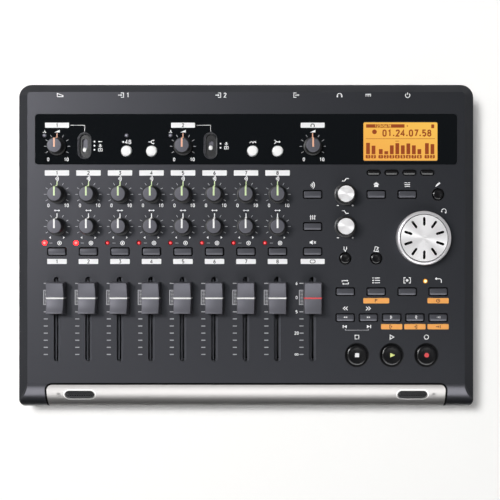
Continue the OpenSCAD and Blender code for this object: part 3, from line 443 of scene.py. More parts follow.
sheet("floor", [(sx * FLOOR_REACH, sy * FLOOR_REACH, 0) for sx, sy in ((-1, -1), (1, -1), (1, 1), (-1, 1))],
      paper)
card = sheet("dark_card", [(side * CARD["half"], CARD["y"], CARD[end])
                           for side, end in ((-1, "low"), (1, "low"), (1, "high"), (-1, "high"))],
             surface("black_flocked_card", "#0a0a0a", 0.9))
for ray in ("visible_camera", "visible_diffuse", "visible_shadow"):
    setattr(card, ray, False)
print("floor reaches", FLOOR_REACH, "m each way, card stands", CARD["high"] / MM, "mm high")

# %% [markdown]
# ## From arrays to meshes
# A surface here is a grid of points: rows are outlines stacked along one parameter and
# columns run round the outline. The helpers below make the quads of such a grid, loft a
# stack of outlines into a closed skin, spin a half profile round a vertical axis, and sweep
# a flat outline upward. One more function turns the arrays into a finished Blender object.

# %% Grids, lofts and turned shapes
def quads(rows, cols):
    """Faces of a grid whose columns close on themselves: (i, j), (i, j+1), (i+1, j+1), (i+1, j)."""
    i = np.arange(rows - 1)[:, None] * cols
    j = np.arange(cols)[None, :]
    after = (j + 1) % cols
    return np.stack([i + j, i + after, i + cols + after, i + cols + j], -1).reshape(-1, 4).tolist()


def loft(rings, caps=(True, True)):
    """Closed skin over a stack of outlines, with a flat face on the first and the last."""
    rings = np.asarray(rings, float)
    rows, cols = rings.shape[:2]
    faces = quads(rows, cols)
    ends = [list(range(cols))[::-1], list(range((rows - 1) * cols, rows * cols))]
    faces += [end for end, wanted in zip(ends, caps) if wanted]
    return rings.reshape(-1, 3), faces


def turn(profile, at, steps=48, capped=True):
    """Body of revolution: point (r, z) of the profile goes round (x, y) as r cos a, r sin a."""
    r, z = np.asarray(profile, float).T
    a = np.arange(steps) * 2 * math.pi / steps
    ring = np.stack([np.cos(a), np.sin(a)], -1)
    rings = np.empty((len(r), steps, 3))
    rings[..., :2] = r[:, None, None] * ring + np.asarray(at)[:2]
    rings[..., 2] = z[:, None]
    return loft(rings, (capped and r[0] > 0, capped and r[-1] > 0))


def level_ring(outline, z, at=(0, 0)):
    """A flat outline moved to a place and lifted to a height."""
    flat = np.asarray(outline, float) + np.asarray(at)[:2]
    return np.column_stack([flat, np.full(len(flat), z)])


def prism(outline, low, high, at=(0, 0)):
    """A flat outline swept from one height to another."""
    return loft([level_ring(outline, low, at), level_ring(outline, high, at)])


def joined(shapes):
    """Several (points, faces) as one, with the face numbers moved on."""
    starts = np.cumsum([0] + [len(points) for points, _ in shapes])
    faces = [[start + k for k in face] for start, (_, run) in zip(starts, shapes) for face in run]
    return np.concatenate([points for points, _ in shapes]), faces


print("a turned ring has", len(turn([(2, 0), (2, 1)], (0, 0))[1]), "faces")

# %% Flat outlines
HAIR = 0.01                             # keeps a straight run between two round ends
ROUND_STEPS, FEW_STEPS = 24, 2          # steps of a full circle, and of a corner that hardly shows


def arc(centre, radius, start, stop, steps=6):
    """Points at equal angles on an arc, in degrees."""
    a = np.radians(np.linspace(start, stop, steps + 1))
    return np.column_stack([centre[0] + radius * np.cos(a), centre[1] + radius * np.sin(a)])


def rounded(width, depth, radius, steps=5):
    """Outline of a rectangle with four quarter arcs for corners, about the origin."""
    x, y = width / 2 - radius, depth / 2 - radius
    return np.vstack([arc((sx * x, sy * y), radius, a, a + 90, steps)
                      for sx, sy, a in ((1, 1, 0), (-1, 1, 90), (-1, -1, 180), (1, -1, 270))])


def oval(width, depth, steps=5):
    """A rectangle whose shorter ends are fully round, less a hair."""
    return rounded(width, depth, min(width, depth) / 2 - HAIR, steps)


def round_outline(radius, at=(0, 0)):
    """A full circle of points, the first one not repeated."""
    return arc(at, radius, 0, 360 - 360 / ROUND_STEPS, ROUND_STEPS - 1)


print("an oval has", len(oval(4, 2)), "points, a circle", len(round_outline(1)))

# %% Arrays into a finished object
SHARP, CAD_SHARP, SOCKET_SHARP = 38, 25, 30             # edges bent by more degrees stay crisp
WELD = 1e-6                             # points nearer than this, in metres, become one
made = {}


def piece(name, parts, body, replaces=(), sharp=SHARP, merge=True, even=False):
    """Object made of parts (points in mm, faces, material or one material for each face). Each part is
    welded and its normals are turned outwards; then the object joins a body."""
    mesh = bpy.data.meshes.new(name)
    scratch = bpy.data.meshes.new("scratch")
    finishes = []
    bm = bmesh.new()
    for points, faces, finish in parts:
        each = finish if isinstance(finish, list) else [finish] * len(faces)
        finishes += [m for m in dict.fromkeys(each) if m not in finishes]
        first_vert, first_face = len(bm.verts), len(bm.faces)
        scratch.clear_geometry()
        scratch.from_pydata((np.asarray(points) * MM).tolist(), [], faces)
        scratch.polygons.foreach_set("material_index", [finishes.index(m) for m in each])
        bm.from_mesh(scratch)
        bm.verts.ensure_lookup_table()
        bm.faces.ensure_lookup_table()
        fresh = bm.faces[first_face:]
        if merge:
            bmesh.ops.remove_doubles(bm, verts=bm.verts[first_vert:], dist=WELD)
            fresh = [face for face in fresh if face.is_valid]
        bmesh.ops.recalc_face_normals(bm, faces=fresh)
    bm.to_mesh(mesh)
    bm.free()
    bpy.data.meshes.remove(scratch)
    for finish in finishes:
        mesh.materials.append(finish)
    mesh.polygons.foreach_set("use_smooth", [True] * len(mesh.polygons))
    mesh.set_sharp_from_angle(angle=math.radians(sharp))
    thing = bpy.data.objects.new(name, mesh)
    bpy.context.scene.collection.objects.link(thing)
    if even:
        weigh = thing.modifiers.new("even_shading", "WEIGHTED_NORMAL")
        weigh.keep_sharp = True
    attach(thing, body)
    if replaces:
        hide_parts(*replaces)
    made[name] = len(mesh.polygons)
    return thing


def cad_copy(node):
    """Points (mm) and triangles of a CAD node, still loose; piece() merges them."""
    source = nodes[node].data
    points = np.empty(len(source.vertices) * 3)
    source.vertices.foreach_get("co", points)
    corners = np.empty(len(source.loops), int)
    source.loops.foreach_get("vertex_index", corners)
    return points.reshape(-1, 3) / MM, corners.reshape(-1, 3)


def dressed(node, name, body, plain, rules=(), sharp=CAD_SHARP):
    """A merged copy of a CAD node. A face is plain, or has the finish of the last rule (test,
    finish) that its middle meets."""
    points, faces = cad_copy(node)
    centres = points[faces].mean(1)
    coats = np.full(len(faces), plain, object)
    for test, finish in rules:
        coats[test(*centres.T)] = finish
    return piece(name, [(points, faces.tolist(), coats.tolist())], body, [node], sharp, even=True)


print("piece makers ready")

# %% [markdown]
# ## Case shells
# The case is two mouldings: the charcoal top with its sloping edges and rounded nose, and the
# black tray below it. The CAD solids have the right shape, so each shell is a merged copy of
# its solid with smooth shading across curves and crisp edges, and only the faces in a few
# places take another finish: the rounded nose is satin, and the ovals round the switches and
# the wells round the transport buttons are polished.

# %% Shells, bar and fascia
SWITCH_OFFSET, SWITCH_RING = (17.5, 0.4), (8.6, 16.8)
TRANSPORT = ["stop_button", "play_button", "record_button"]
WELL_R, RECESS = 7.9, 1.0
SLACK, NOSE_SLACK = 0.05, 0.02          # how far a face may lie off the place that it is tested for
switch_places = [(track_x[k] + SWITCH_OFFSET[0], trim_y + SWITCH_OFFSET[1]) for k in INPUT_TRACKS]
wells = [middle(node) for node in TRANSPORT]
bar_low, bar_high = (np.array(v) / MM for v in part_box("front_bar"))


def in_well(x, y, z):
    """Test for faces of the deck's thickness within a transport button's well."""
    close = [np.hypot(x - p[0], y - p[1]) < WELL_R for p in wells]
    return np.any(close, 0) & (z > under_z - 2 * SLACK) & (z < deck_z - SLACK)


def in_oval(x, y, z):
    """Test for faces inside a switch's oval: nearer its middle line than half the width."""
    run = (SWITCH_RING[1] - SWITCH_RING[0]) / 2
    off = [np.hypot(x - p[0], np.maximum(np.abs(y - p[1]) - run, 0)) for p in switch_places]
    return (np.min(off, 0) < SWITCH_RING[0] / 2 + SLACK) & (z > under_z - RECESS)


def on_nose(x, y, z):
    """Test for faces on the rounded front edge: ahead of the bar's rear edge and below the deck."""
    return (y < bar_high[1]) & (z < deck_z - NOSE_SLACK)


dressed("top_case", "top_shell", "case", charcoal_abs,
        [(on_nose, nose_abs), (in_oval, smooth_abs), (in_well, smooth_abs)])
for node, name, finish, slot in (
        ("bottom_case", "bottom_tray", black_abs, "case_black"),
        ("front_bar", "front_trim_bar", satin_bar, "bar_silver"),
        ("display_fascia", "display_window_sheet", black_acrylic, "fascia_black"),
        ("rubber_feet", "feet", foot_rubber, "foot_rubber"),
        ("fixing_screws", "screws", zinc, "plated_steel")):
    dressed(node, name, "case", finish)
print("shells:", made)

# %% [markdown]
# ## Microphone grilles
# Behind each end of the bar a small microphone looks out through a slot with a perforated plate. Faces are
# sorted by their distance from the nose's axis: the capsule behind the plate and the walls of the plate's
# holes take black nylon, which is the capsule's own colour and a painted shade in the holes. The slot's lip
# is a shallow bevel, milled after the bar was bent: an oval carried round on the nose's own curve.

# %% Grilles and their lips
NOSE_R, BAR_T, PLATE_RISE = 16.2, 2.0, 0.7
MIC_TILT = math.radians(27)
MIC_X, MIC_L, MIC_W = 105.9, 18.9, 5.8
LIP = [(0, -1.0), (0, -0.22), (0.65, 0.03), (0.85, 0.03), (0.9, -0.3), (0, -1.0)]
LIP_STEPS = 8
nose_axis = np.array([0, bar_low[1] + NOSE_R, deck_z - NOSE_R])


def on_curve(flat, lift):
    """Flat points (u, v) laid on the nose: v runs along the slope at the slot's tilt t, and the
    height over the slope is sqrt((R + lift)^2 - v^2), so each point keeps R + lift from the axis."""
    u, v = np.asarray(flat, float).T
    out = np.sqrt((NOSE_R + lift) ** 2 - v ** 2)
    c, s = math.cos(MIC_TILT), math.sin(MIC_TILT)
    return np.column_stack([u, c * v - s * out, s * v + c * out]) + nose_axis


def behind_plate(x, y, z):
    """Test for faces of the capsules and of the holes' walls, nearer the axis than the plate's face."""
    return np.hypot(y - nose_axis[1], z - nose_axis[2]) < NOSE_R - BAR_T + PLATE_RISE


def grille_lip(x):
    """The bevel's profile (reach out from the slot, lift off the nose) carried round one slot."""
    rows = [on_curve(oval(MIC_L + 2 * out, MIC_W + 2 * out, LIP_STEPS) + (x, 0), lift) for out, lift in LIP]
    return loft(rows, (False, False))


# The holes' walls take the capsules' black nylon: a painted shade in the holes.
dressed("microphones", "microphone_grilles", "case", mesh_steel,
        [(behind_plate, socket_nylon)])
# The lips' bright colour is a painted highlight round the slots.
piece("grille_lips", [(*joined([grille_lip(-MIC_X), grille_lip(MIC_X)]), lip_painted_highlight)], "case")
print("grille lips follow a nose of radius", NOSE_R, "mm")

# %% [markdown]
# ## Seam round the bar
# The bar lies in a pocket of the case, and the shade in the gap round it is painted as a thin black strip
# that draws a dark line along the deck. The strip's path runs up one end of the bar, round both plan
# corners and down the other end, lifted onto the nose's curve.

# %% Painted shadow in the seam
SEAM = {"gap": 0.8, "corner": 3.8, "end": 0.3, "steps": 14, "bend_steps": 8}
SHADOW_STRIP = {"half": 0.6, "sunk": 0.6, "proud": 0.03}


def strip(path, outward, across, half, sunk, proud):
    """A bar carried along a path: at each point its four corners lie half to both sides,
    sunk below the surface and proud above it."""
    path, outward, across = (np.asarray(v, float) for v in (path, outward, across))
    low, high = path - outward * sunk, path + outward * proud
    side = across * half
    return loft(np.stack([low - side, high - side, high + side, low + side], 1))


end_x, rear_y = bar_high[:2] + SEAM["gap"] / 2
bend = SEAM["corner"] + SEAM["gap"] / 2
end_y = np.linspace(bar_low[1] + SEAM["end"], rear_y - bend, SEAM["steps"])[:-1]
right = np.vstack([np.column_stack([np.full(len(end_y), end_x), end_y]),
                   arc((end_x - bend, rear_y - bend), bend, 0, 90, SEAM["bend_steps"])])
flat = np.vstack([right, right[::-1] * (-1, 1)])
rise = np.sqrt(NOSE_R ** 2 - (flat[:, 1] - nose_axis[1]) ** 2)
path = np.column_stack([flat, nose_axis[2] + rise])
outward = np.column_stack([np.zeros(len(flat)), flat[:, 1] - nose_axis[1], rise]) / NOSE_R
across = np.cross(outward, np.gradient(path, axis=0))
across /= np.linalg.norm(across, axis=1, keepdims=True)
# The strip is black: a painted shadow of the gap round the bar.
piece("bar_seam_painted_shadow", [(*strip(path, outward, across, **SHADOW_STRIP), seam_painted_shadow)], "case")
print("bead has", len(path), "stations")

# %% [markdown]
# ## Pot knobs
# Nineteen small knobs turn pots. Each is a moulded cap with a wide skirt, a drafted side and a
# flat matt top with a soft edge, and a pale pointer is pressed into it from just past the
# middle to the skirt. A spun profile gives the cap, and the pointer is a narrow strip carried
# along that same profile, so it follows every bend.

# %% Knob profile and pointer strip
KNOB_R, KNOB_TOP_R, KNOB_LIFT, KNOB_SKIRT = 5.8, 4.6, 0.4, 1.5
EDGE, SOFT, STEP_UP, HIDDEN = 0.6, 0.3, 0.1, 0.02       # round edges of top and skirt, step, overlap
POINTER = {"half": 0.55, "sunk": 0.25, "proud": 0.08}
POINTER_BACK = 1.2                      # how far past the middle the pointer runs
SHAFT_R, SHAFT_IN = 2.0, 3.0
TURN_STEPS, SHAFT_STEPS = 64, 24
SIDE_ARC, TOP_ARC = (8, 50, 4), (60, 90, 3)             # the soft edge, shared by the side and the top
knob_z = deck_z + KNOB_LIFT
skirt_z = knob_z + KNOB_SKIRT


def outward_of(profile):
    """Unit normals of a profile, from the mean direction of the two runs at each point."""
    run = np.gradient(np.asarray(profile, float), axis=0)
    run /= np.linalg.norm(run, axis=1, keepdims=True)
    return np.column_stack([run[:, 1], -run[:, 0]])


def skirt(radius):
    """Half profile from the shaft along the foot and up to the skirt's round upper edge."""
    return np.vstack([[(SHAFT_R, knob_z), (radius - SOFT, knob_z), (radius, knob_z + SOFT)],
                      arc((radius - SOFT, skirt_z - SOFT), SOFT, 0, 90, 3)])


def shaft(node):
    """The pot's steel shaft, from its foot to inside the cap."""
    return turn([(SHAFT_R, base(node)), (SHAFT_R, knob_z + SHAFT_IN)], middle(node), SHAFT_STEPS)


def knob(node, name, pale):
    """Skirt, side and top spun about the knob's axis, with its pointer along the profile."""
    at = x, y = middle(node)[:2]
    high = top(node) - POINTER["proud"]
    bend = (KNOB_TOP_R - EDGE, high - EDGE)
    wall = np.vstack([[(KNOB_R - EDGE, skirt_z + STEP_UP)], arc(bend, EDGE, *SIDE_ARC)])
    side = np.vstack([skirt(KNOB_R), wall])
    cap = np.vstack([wall[-1:], arc(bend, EDGE, *TOP_ARC), [(0, high)]])
    path = np.vstack([[(KNOB_R - HIDDEN, skirt_z - SOFT), (KNOB_R - SOFT, skirt_z)], wall, cap[1:],
                      [(-POINTER_BACK, high)]])
    normal = outward_of(path)
    normal[-2:] = (0, 1)
    flat = np.zeros(len(path))
    line = np.column_stack([flat + x, y + path[:, 0], path[:, 1]])
    pointer = strip(line, np.column_stack([flat, normal]), (1, 0, 0), **POINTER)
    # Skirt and side take the near-black painted shade, and the top keeps the knob's grey.
    return piece(name, [(*turn(side, at, TURN_STEPS), knob_side_painted_shade),
                        (*turn(cap, at, TURN_STEPS), knob_top_abs), (*pointer, pale), (*shaft(node), zinc)],
                 node, [node])


for n in range(1, 9):
    knob(f"send_knob_{n}", f"send_knob_{n}_cap", green_inlay)
    knob(f"pan_knob_{n}", f"pan_knob_{n}_cap", white_inlay)
for node in ("trim_knob_a", "trim_knob_b", "phones_knob"):
    knob(node, node + "_cap", salmon_inlay)
print("pot knobs:", sum(name.endswith("_cap") for name in made))

# %% [markdown]
# ## Faders
# A fader cap is a wide finger rest on a thin steel lever. Seen from the side it is a block
# with leaning ends and a dish for the fingertip, and its flanks draft inwards to the top. So
# the surface is that side outline, carried across the cap: the width follows the height, and
# the last rows shrink a little to round the rims. A coloured rib marks the middle.

# %% Fader caps
CAP = {"length": 20.4, "width": 10.5, "draft": 0.6, "dish": 2.4, "brow": 1.2, "lean": 0.5, "lift": 0.6}
RIM, BROW_EDGE, DISH_STEPS = 0.35, 0.3, 24
RIM_BEND = np.radians([0, 30, 60, 90])
DISH_EASE = np.array([0.12, -0.06])     # softens the first and the last point of the dish
RIB = {"half": 0.45, "sunk": 0.3, "proud": 0.15}
RIB_FOOT, RIB_BEND = 0.4, 0.2
BLADE, BLADE_CORNER, BLADE_IN = (1.2, 5.0), 0.2, 3.5


def cap_outline(height):
    """Side outline in (y, z): up the rear end, down through the dish arc, and back along the foot."""
    half = CAP["length"] / 2
    chord = half - CAP["brow"]
    radius = (chord ** 2 + CAP["dish"] ** 2) / (2 * CAP["dish"])
    swing = math.degrees(math.asin(chord / radius))
    dish = arc((0, height - CAP["dish"] + radius), radius, -90 + swing, -90 - swing, DISH_STEPS)
    dish[0] += DISH_EASE
    dish[-1] += DISH_EASE * (-1, 1)
    brow = half - CAP["lean"]
    rear = np.array([(half, 0), (brow, height - BROW_EDGE), (brow - BROW_EDGE, height)])
    return np.vstack([rear, dish, rear[::-1] * (-1, 1)])


def inset(outline, depth):
    """A closed outline moved inwards by depth along the mean normal of the two runs at each point."""
    ahead = np.roll(outline, -1, 0) - outline
    ahead /= np.linalg.norm(ahead, axis=1, keepdims=True)
    both = ahead + np.roll(ahead, 1, 0)
    both /= np.linalg.norm(both, axis=1, keepdims=True)
    return outline + depth * np.column_stack([-both[:, 1], both[:, 0]])


def fader(node, name, rib_finish):
    """Rows across the cap at x = v (w / 2 + draft (1 - z / h)), with rounded last rows."""
    x, y = middle(node)[:2]
    low = deck_z + CAP["lift"]
    height = top(node) - low
    outline = cap_outline(height)
    rows = []
    for side, a in [(-1, a) for a in RIM_BEND] + [(1, a) for a in RIM_BEND[::-1]]:
        flat = inset(outline, RIM * (1 - math.sin(a)))
        wide = CAP["width"] / 2 + CAP["draft"] * (1 - flat[:, 1] / height) - RIM * (1 - math.cos(a))
        rows.append(np.column_stack([x + side * wide, y + flat[:, 0], low + flat[:, 1]]))
    half, line = CAP["width"] / 2, height - CAP["dish"]
    shoulder = half + CAP["draft"] * (1 - line / height)
    left = np.array([(-half - CAP["draft"], RIB_FOOT), (-shoulder, line - RIB_BEND),
                     (-shoulder + RIB_BEND, line)])
    path = np.vstack([left, left[::-1] * (-1, 1)])
    out = -outward_of(path)
    level = np.zeros(len(path))
    rib = strip(np.column_stack([x + path[:, 0], y + level, low + path[:, 1]]),
                np.column_stack([out[:, 0], level, out[:, 1]]), (0, 1, 0), **RIB)
    blade = prism(rounded(*BLADE, BLADE_CORNER), base(node), low + BLADE_IN, (x, y))
    return piece(name, [(*loft(rows), fader_abs), (*rib, rib_finish), (*blade, zinc)],
                 node, [node])


for n in range(1, 9):
    fader(f"fader_{n}", f"fader_{n}_grip", white_inlay)
fader("fader_master", "fader_master_grip", red_ink)
print("fader grips:", sum(name.endswith("_grip") for name in made))

# %% [markdown]
# ## Dust lips
# Two strips of felt keep dust off each rail, and the lever's blade runs in the narrow slit
# between them: the right one is glued into the slot, and the left one lies deeper, under the
# deck, where the slot's edge shades it. So the slot looks like a groove that is dark on its
# left. Each strip is half of a slot outline, less half of the slit.

# %% Felt strips in the slots
FELT = {"half_slit": 0.65, "run": 24.8, "thick": 0.3}
FELT_SIDES = [(-1, 3.2, 3.4), (1, 2.05, 1.0)]           # side, radius of the ends, depth below the deck
slot_y = middle("fader_rails")[1]


def felt_strip(side, radius, drop):
    """Half of a slot outline: two arcs of the radius about the slot's ends, cut at the slit."""
    cut = math.degrees(math.acos(FELT["half_slit"] / radius))
    half = np.vstack([arc((0, -FELT["run"]), radius, -cut, 0), arc((0, FELT["run"]), radius, 0, cut)])
    return prism(half * (side, 1), deck_z - drop - FELT["thick"], deck_z - drop, (0, slot_y))


strips = [felt_strip(*row) for row in FELT_SIDES]
felts = joined([(points + (x, 0, 0), faces) for points, faces in strips for x in track_x + [master_x]])
piece("fader_dust_lips", [(*felts, dust_felt)], "case")
print("dust lips: two in each of", len(track_x) + 1, "slots")

# %% [markdown]
# ## Equaliser knobs and data wheel
# These three are the bright ones. The equaliser knobs are black cones with a turned aluminium
# cap let into the top. The wheel is a plated rim with a turned disc in it, and ten finger
# slots go through the disc. A hole makes a plain spun disc impossible, so the disc is ten equal
# sectors: in each, rows of points pass from the slot's outline to the sector's edge.

# %% Equaliser knobs
EQ_R, EQ_STEP, EQ_RIM_DROP = 7.0, 0.75, 0.35
EQ_CAP_R, EQ_CAP_GAP, EQ_SINK, EQ_CHAMFER = 5.25, 0.12, 0.5, 0.35
EQ_ARC = (10, 90, 5)                    # start, stop and steps of the rim's round edge


def eq_knob(node, name):
    """Cone, rim and sunk cap, all spun about the knob's axis."""
    at, high = middle(node)[:2], top(node)
    rim_z = high - EQ_RIM_DROP
    body = np.vstack([skirt(EQ_R), [(EQ_R - EQ_STEP, skirt_z + STEP_UP)],
                      arc((EQ_CAP_R, rim_z - EDGE), EDGE, *EQ_ARC),
                      [(EQ_CAP_R + HIDDEN, rim_z - EQ_SINK)]])
    cap_r = EQ_CAP_R - EQ_CAP_GAP
    cap = [(cap_r, rim_z - EQ_SINK), (cap_r, high - EQ_CHAMFER), (cap_r - EQ_CHAMFER, high), (0, high)]
    return piece(name, [(*turn(body, at, TURN_STEPS), smooth_abs),
                        (*turn(cap, at, TURN_STEPS), cap_metals[node]), (*shaft(node), zinc)],
                 node, [node])


for node in cap_metals:
    eq_knob(node, node + "_cap")
print("equaliser knobs rise to", round(top("eq_low_knob") - deck_z, 1), "mm above the deck")

# %% Data wheel
WHEEL_R, WHEEL_FOOT, WHEEL_EDGE, WHEEL_LIP = 17.1, 0.5, 1.6, 0.1
DISC_R, DISC_GAP, DISC_DROP, DISC_DEEP = 14.7, 0.45, 0.25, 1.0
SLOTS, SLOT_IN, SLOT_OUT, SLOT_HALF = 10, 7.8, 13.2, 0.8
WHEEL_STEPS, WALL_STEPS = 120, 80
ARC_RUN, RAY_RUN, END_RUN, SIDE_RUN = 8, 8, 6, 5        # steps of the arcs, and points of the straights


def slot_sector(turned, z, floor_z):
    """One sector of the disc. Row 0 is the slot at its floor, row 1 the slot at the face and
    row 2 the sector's own edge: outer arc, one radius, the middle, the other radius. The steps
    of the runs are chosen so that each row has 22 points."""
    half = 180 / SLOTS
    ray = np.array([(math.cos(math.radians(half)), s * math.sin(math.radians(half))) for s in (-1, 1)])
    edge = np.vstack([arc((0, 0), DISC_R, half, -half, ARC_RUN),
                      np.linspace(DISC_R, 0, RAY_RUN)[1:, None] * ray[0],
                      np.linspace(0, DISC_R, RAY_RUN)[1:-1, None] * ray[1]])
    far = arc((SLOT_OUT - SLOT_HALF, 0), SLOT_HALF, 90, -90, ARC_RUN)
    close = arc((SLOT_IN + SLOT_HALF, 0), SLOT_HALF, 270, 90, END_RUN)
    slot = np.vstack([far, np.linspace(far[-1], close[0], SIDE_RUN)[1:-1],
                      close, np.linspace(close[-1], far[0], SIDE_RUN)[1:-1]])
    c, s = math.cos(turned), math.sin(turned)
    spin = np.array([(c, s), (-s, c)])
    rows = [level_ring(row @ spin, h, (wheel_x, wheel_y))
            for row, h in ((slot, floor_z), (slot, z), (edge, z))]
    return loft(rows, (False, False))


at, wheel_top = (wheel_x, wheel_y), top("data_wheel")
disc_z = wheel_top - DISC_DROP
well_z = disc_z - DISC_DEEP
inner = DISC_R + DISC_GAP
rim = np.vstack([[(SHAFT_R, knob_z), (WHEEL_R - WHEEL_FOOT, knob_z), (WHEEL_R, knob_z + WHEEL_FOOT)],
                 arc((WHEEL_R - WHEEL_EDGE, wheel_top - WHEEL_EDGE), WHEEL_EDGE, 0, 90, 8),
                 [(inner + WHEEL_LIP, wheel_top), (inner, wheel_top - WHEEL_LIP), (inner, well_z)]])
well = [(inner, well_z), (0, well_z)]
wall = [(DISC_R, well_z), (DISC_R, disc_z)]
disc = joined([slot_sector(math.pi / 2 + k * 2 * math.pi / SLOTS, disc_z, well_z) for k in range(SLOTS)])
piece("data_wheel_rim_and_disc",
      [(*turn(rim, at, WHEEL_STEPS), plated_rim), (*turn(well, at, WHEEL_STEPS), gloss_black),
       (*disc, wheel_metal), (*turn(wall, at, WALL_STEPS, capped=False), wheel_metal),
       (*shaft("data_wheel"), zinc)],
      "data_wheel", ["data_wheel"])
print("wheel:", SLOTS, "slots,", round(wheel_top - deck_z, 1), "mm above the deck")

# %% [markdown]
# ## Keys
# Square-ended keys are small grey caps that stand a millimetre above the deck. Their front
# edge slopes down further than the rear one and catches the light as a bright line. Each is a
# stack of rounded outlines, lower ones full size and upper ones drawn in more at the front.
# Under the deck a wider foot keeps the key from falling out, and a stem reaches its switch.

# %% Key caps
KEY = {"width": 11.0, "depth": 4.1, "corner": 0.8, "height": 1.2}
KEY_SLOPES = [(0.62, 0, 0, 0), (0.36, 0.06, 0.05, 0.05), (0.03, 0.98, 0.4, 0.35), (0, 1.12, 0.52, 0.47)]
KEY_GAP, SEARCH_STEP = 0.75, 0.75       # the gap in mm, and the search keys' step in columns
FOOT_DROP, FOOT_T, FOOT_REACH = 0.3, 0.8, 1.1
STEM_R, STEM_STEPS = 1.5, 20
foot_z = under_z - FOOT_DROP - FOOT_T


def key_stack(at, width, depth, corner, height, slopes):
    """Outlines stacked into a cap; each slope is (drop, front, rear, side): how far below the top
    the outline lies and how far its edges draw in."""
    rings = [level_ring(rounded(width, depth, corner), foot_z + FOOT_T / 2, at)]
    for drop, front, rear, side in slopes:
        deep = depth - front - rear
        ring = rounded(width - 2 * side, deep, min(corner - side / 2, deep / 2 - HAIR))
        rings.append(level_ring(ring, deck_z + height - drop, (at[0], at[1] + (front - rear) / 2)))
    return loft(rings)


def foot_and_stem(node, at, outline):
    """The wide foot under the deck and the round stem below it."""
    return joined([prism(outline, foot_z, foot_z + FOOT_T, at),
                   turn([(STEM_R, base(node)), (STEM_R, foot_z)], at, STEM_STEPS)])


def key_row(node, caps, places, outline, finish, foot_finish):
    """Parts of a row of keys: all their caps, and a foot and a stem at each place."""
    return [(*joined(caps), finish),
            (*joined([foot_and_stem(node, p, outline) for p in places]), foot_finish)]


def square_keys(node, places):
    """Every square-ended key of a node."""
    reach = 2 * (KEY_GAP + FOOT_REACH)
    outline = rounded(KEY["width"] + reach, KEY["depth"] + reach, KEY["corner"], FEW_STEPS)
    caps = [key_stack(p, **KEY, slopes=KEY_SLOPES) for p in places]
    return key_row(node, caps, places, outline, key_abs, gloss_black)


key_half = KEY["depth"] / 2 + KEY_GAP + FOOT_REACH
repeat_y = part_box("locate_keys")[1].y / MM - key_half
search_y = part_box("locate_keys")[0].y / MM + key_half
search_x = [column(SEARCH_STEP * k) for k in range(5)]
key_places = {"rec": [(x, rec_y) for x in track_x],
              "master": [(master_x, y) for y in (send_y, pan_y, rec_y)],
              "locate": [(column(k), repeat_y) for k in range(4)] + [(x, search_y) for x in search_x]}
for group, places in key_places.items():
    node = group + "_keys"
    piece(group + "_key_caps", square_keys(node, places), node, [node])
print("search keys at y", round(search_y, 1), "repeat row at y", round(repeat_y, 1))

# %% [markdown]
# ## Round buttons and function keys
# Round buttons come from polished moulds, so their soft edges show thin highlights. The menu
# group has two square keys and three black round ones on one body, and the mode buttons are
# milky white. The four function keys under the display are slim ovals, stacked like the square
# keys. The transport buttons are the largest and have a hollow top for the finger, with a
# symbol printed in it: a white square, a lime triangle and a red dot, the colours that people
# look for first. A spun profile gives each round button, and the symbols are thin prisms.

# %% Menu group and mode buttons
ROUND = {"radius": 3.1, "gap": 0.9, "height": 1.0, "bevel": 0.6, "hollow": 0.3}
MODE = {"radius": 3.2, "gap": 0.45, "height": 1.4, "bevel": 0.5, "hollow": -0.1}
MODE_SIDE = 15.9
MODE_TRACKS = (3, 7)                    # the right-hand mode button of each pair stands over these strips
BEVEL_TILT, BUTTON_EDGE = 19, 0.15
TOP_STEPS = 7


def button(at, size):
    """Half profile: straight side, small round edge, a bevel at the tilt that mirrors the lights to
    the eye, then a top that sinks by hollow (1 - (r / R)^2)."""
    tilt, bevel, radius = math.radians(BEVEL_TILT), size["bevel"], size["radius"]
    inner = radius - BUTTON_EDGE - bevel
    high = deck_z + size["height"]
    round_z = high - (bevel + BUTTON_EDGE * math.sin(tilt)) * math.tan(tilt) - BUTTON_EDGE * math.cos(tilt)
    r = np.linspace(inner, 0, TOP_STEPS)[1:]
    sunk = np.column_stack([r, high - size["hollow"] * (1 - (r / inner) ** 2)])
    profile = np.vstack([[(radius, foot_z + FOOT_T / 2)],
                         arc((radius - BUTTON_EDGE, round_z), BUTTON_EDGE, 0, 90 - BEVEL_TILT, 4),
                         [(inner, high)], sunk])
    return turn(profile, at, TURN_STEPS)


def round_buttons(node, places, size, finish):
    """Every round button of one size on a node, with round feet under the deck."""
    outline = round_outline(size["radius"] + size["gap"] + FOOT_REACH)
    return key_row(node, [button(p, size) for p in places], places, outline, finish, finish)


round_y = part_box("menu_keys")[0].y / MM + ROUND["radius"] + ROUND["gap"] + FOOT_REACH
menu_squares = [(column(1), send_y), (column(2), send_y)]
menu_rounds = [(column(3), send_y), (column(0), round_y), (column(1), round_y)]
piece("menu_key_caps",
      square_keys("menu_keys", menu_squares) + round_buttons("menu_keys", menu_rounds, ROUND, gloss_black),
      "menu_keys", ["menu_keys"])
mode_places = [(track_x[k] - s, mode_y) for k in MODE_TRACKS for s in (MODE_SIDE, 0)]
piece("mode_button_caps", round_buttons("mode_buttons", mode_places, MODE, milky_white),
      "mode_buttons", ["mode_buttons"])
print("menu group and", len(mode_places), "mode buttons")

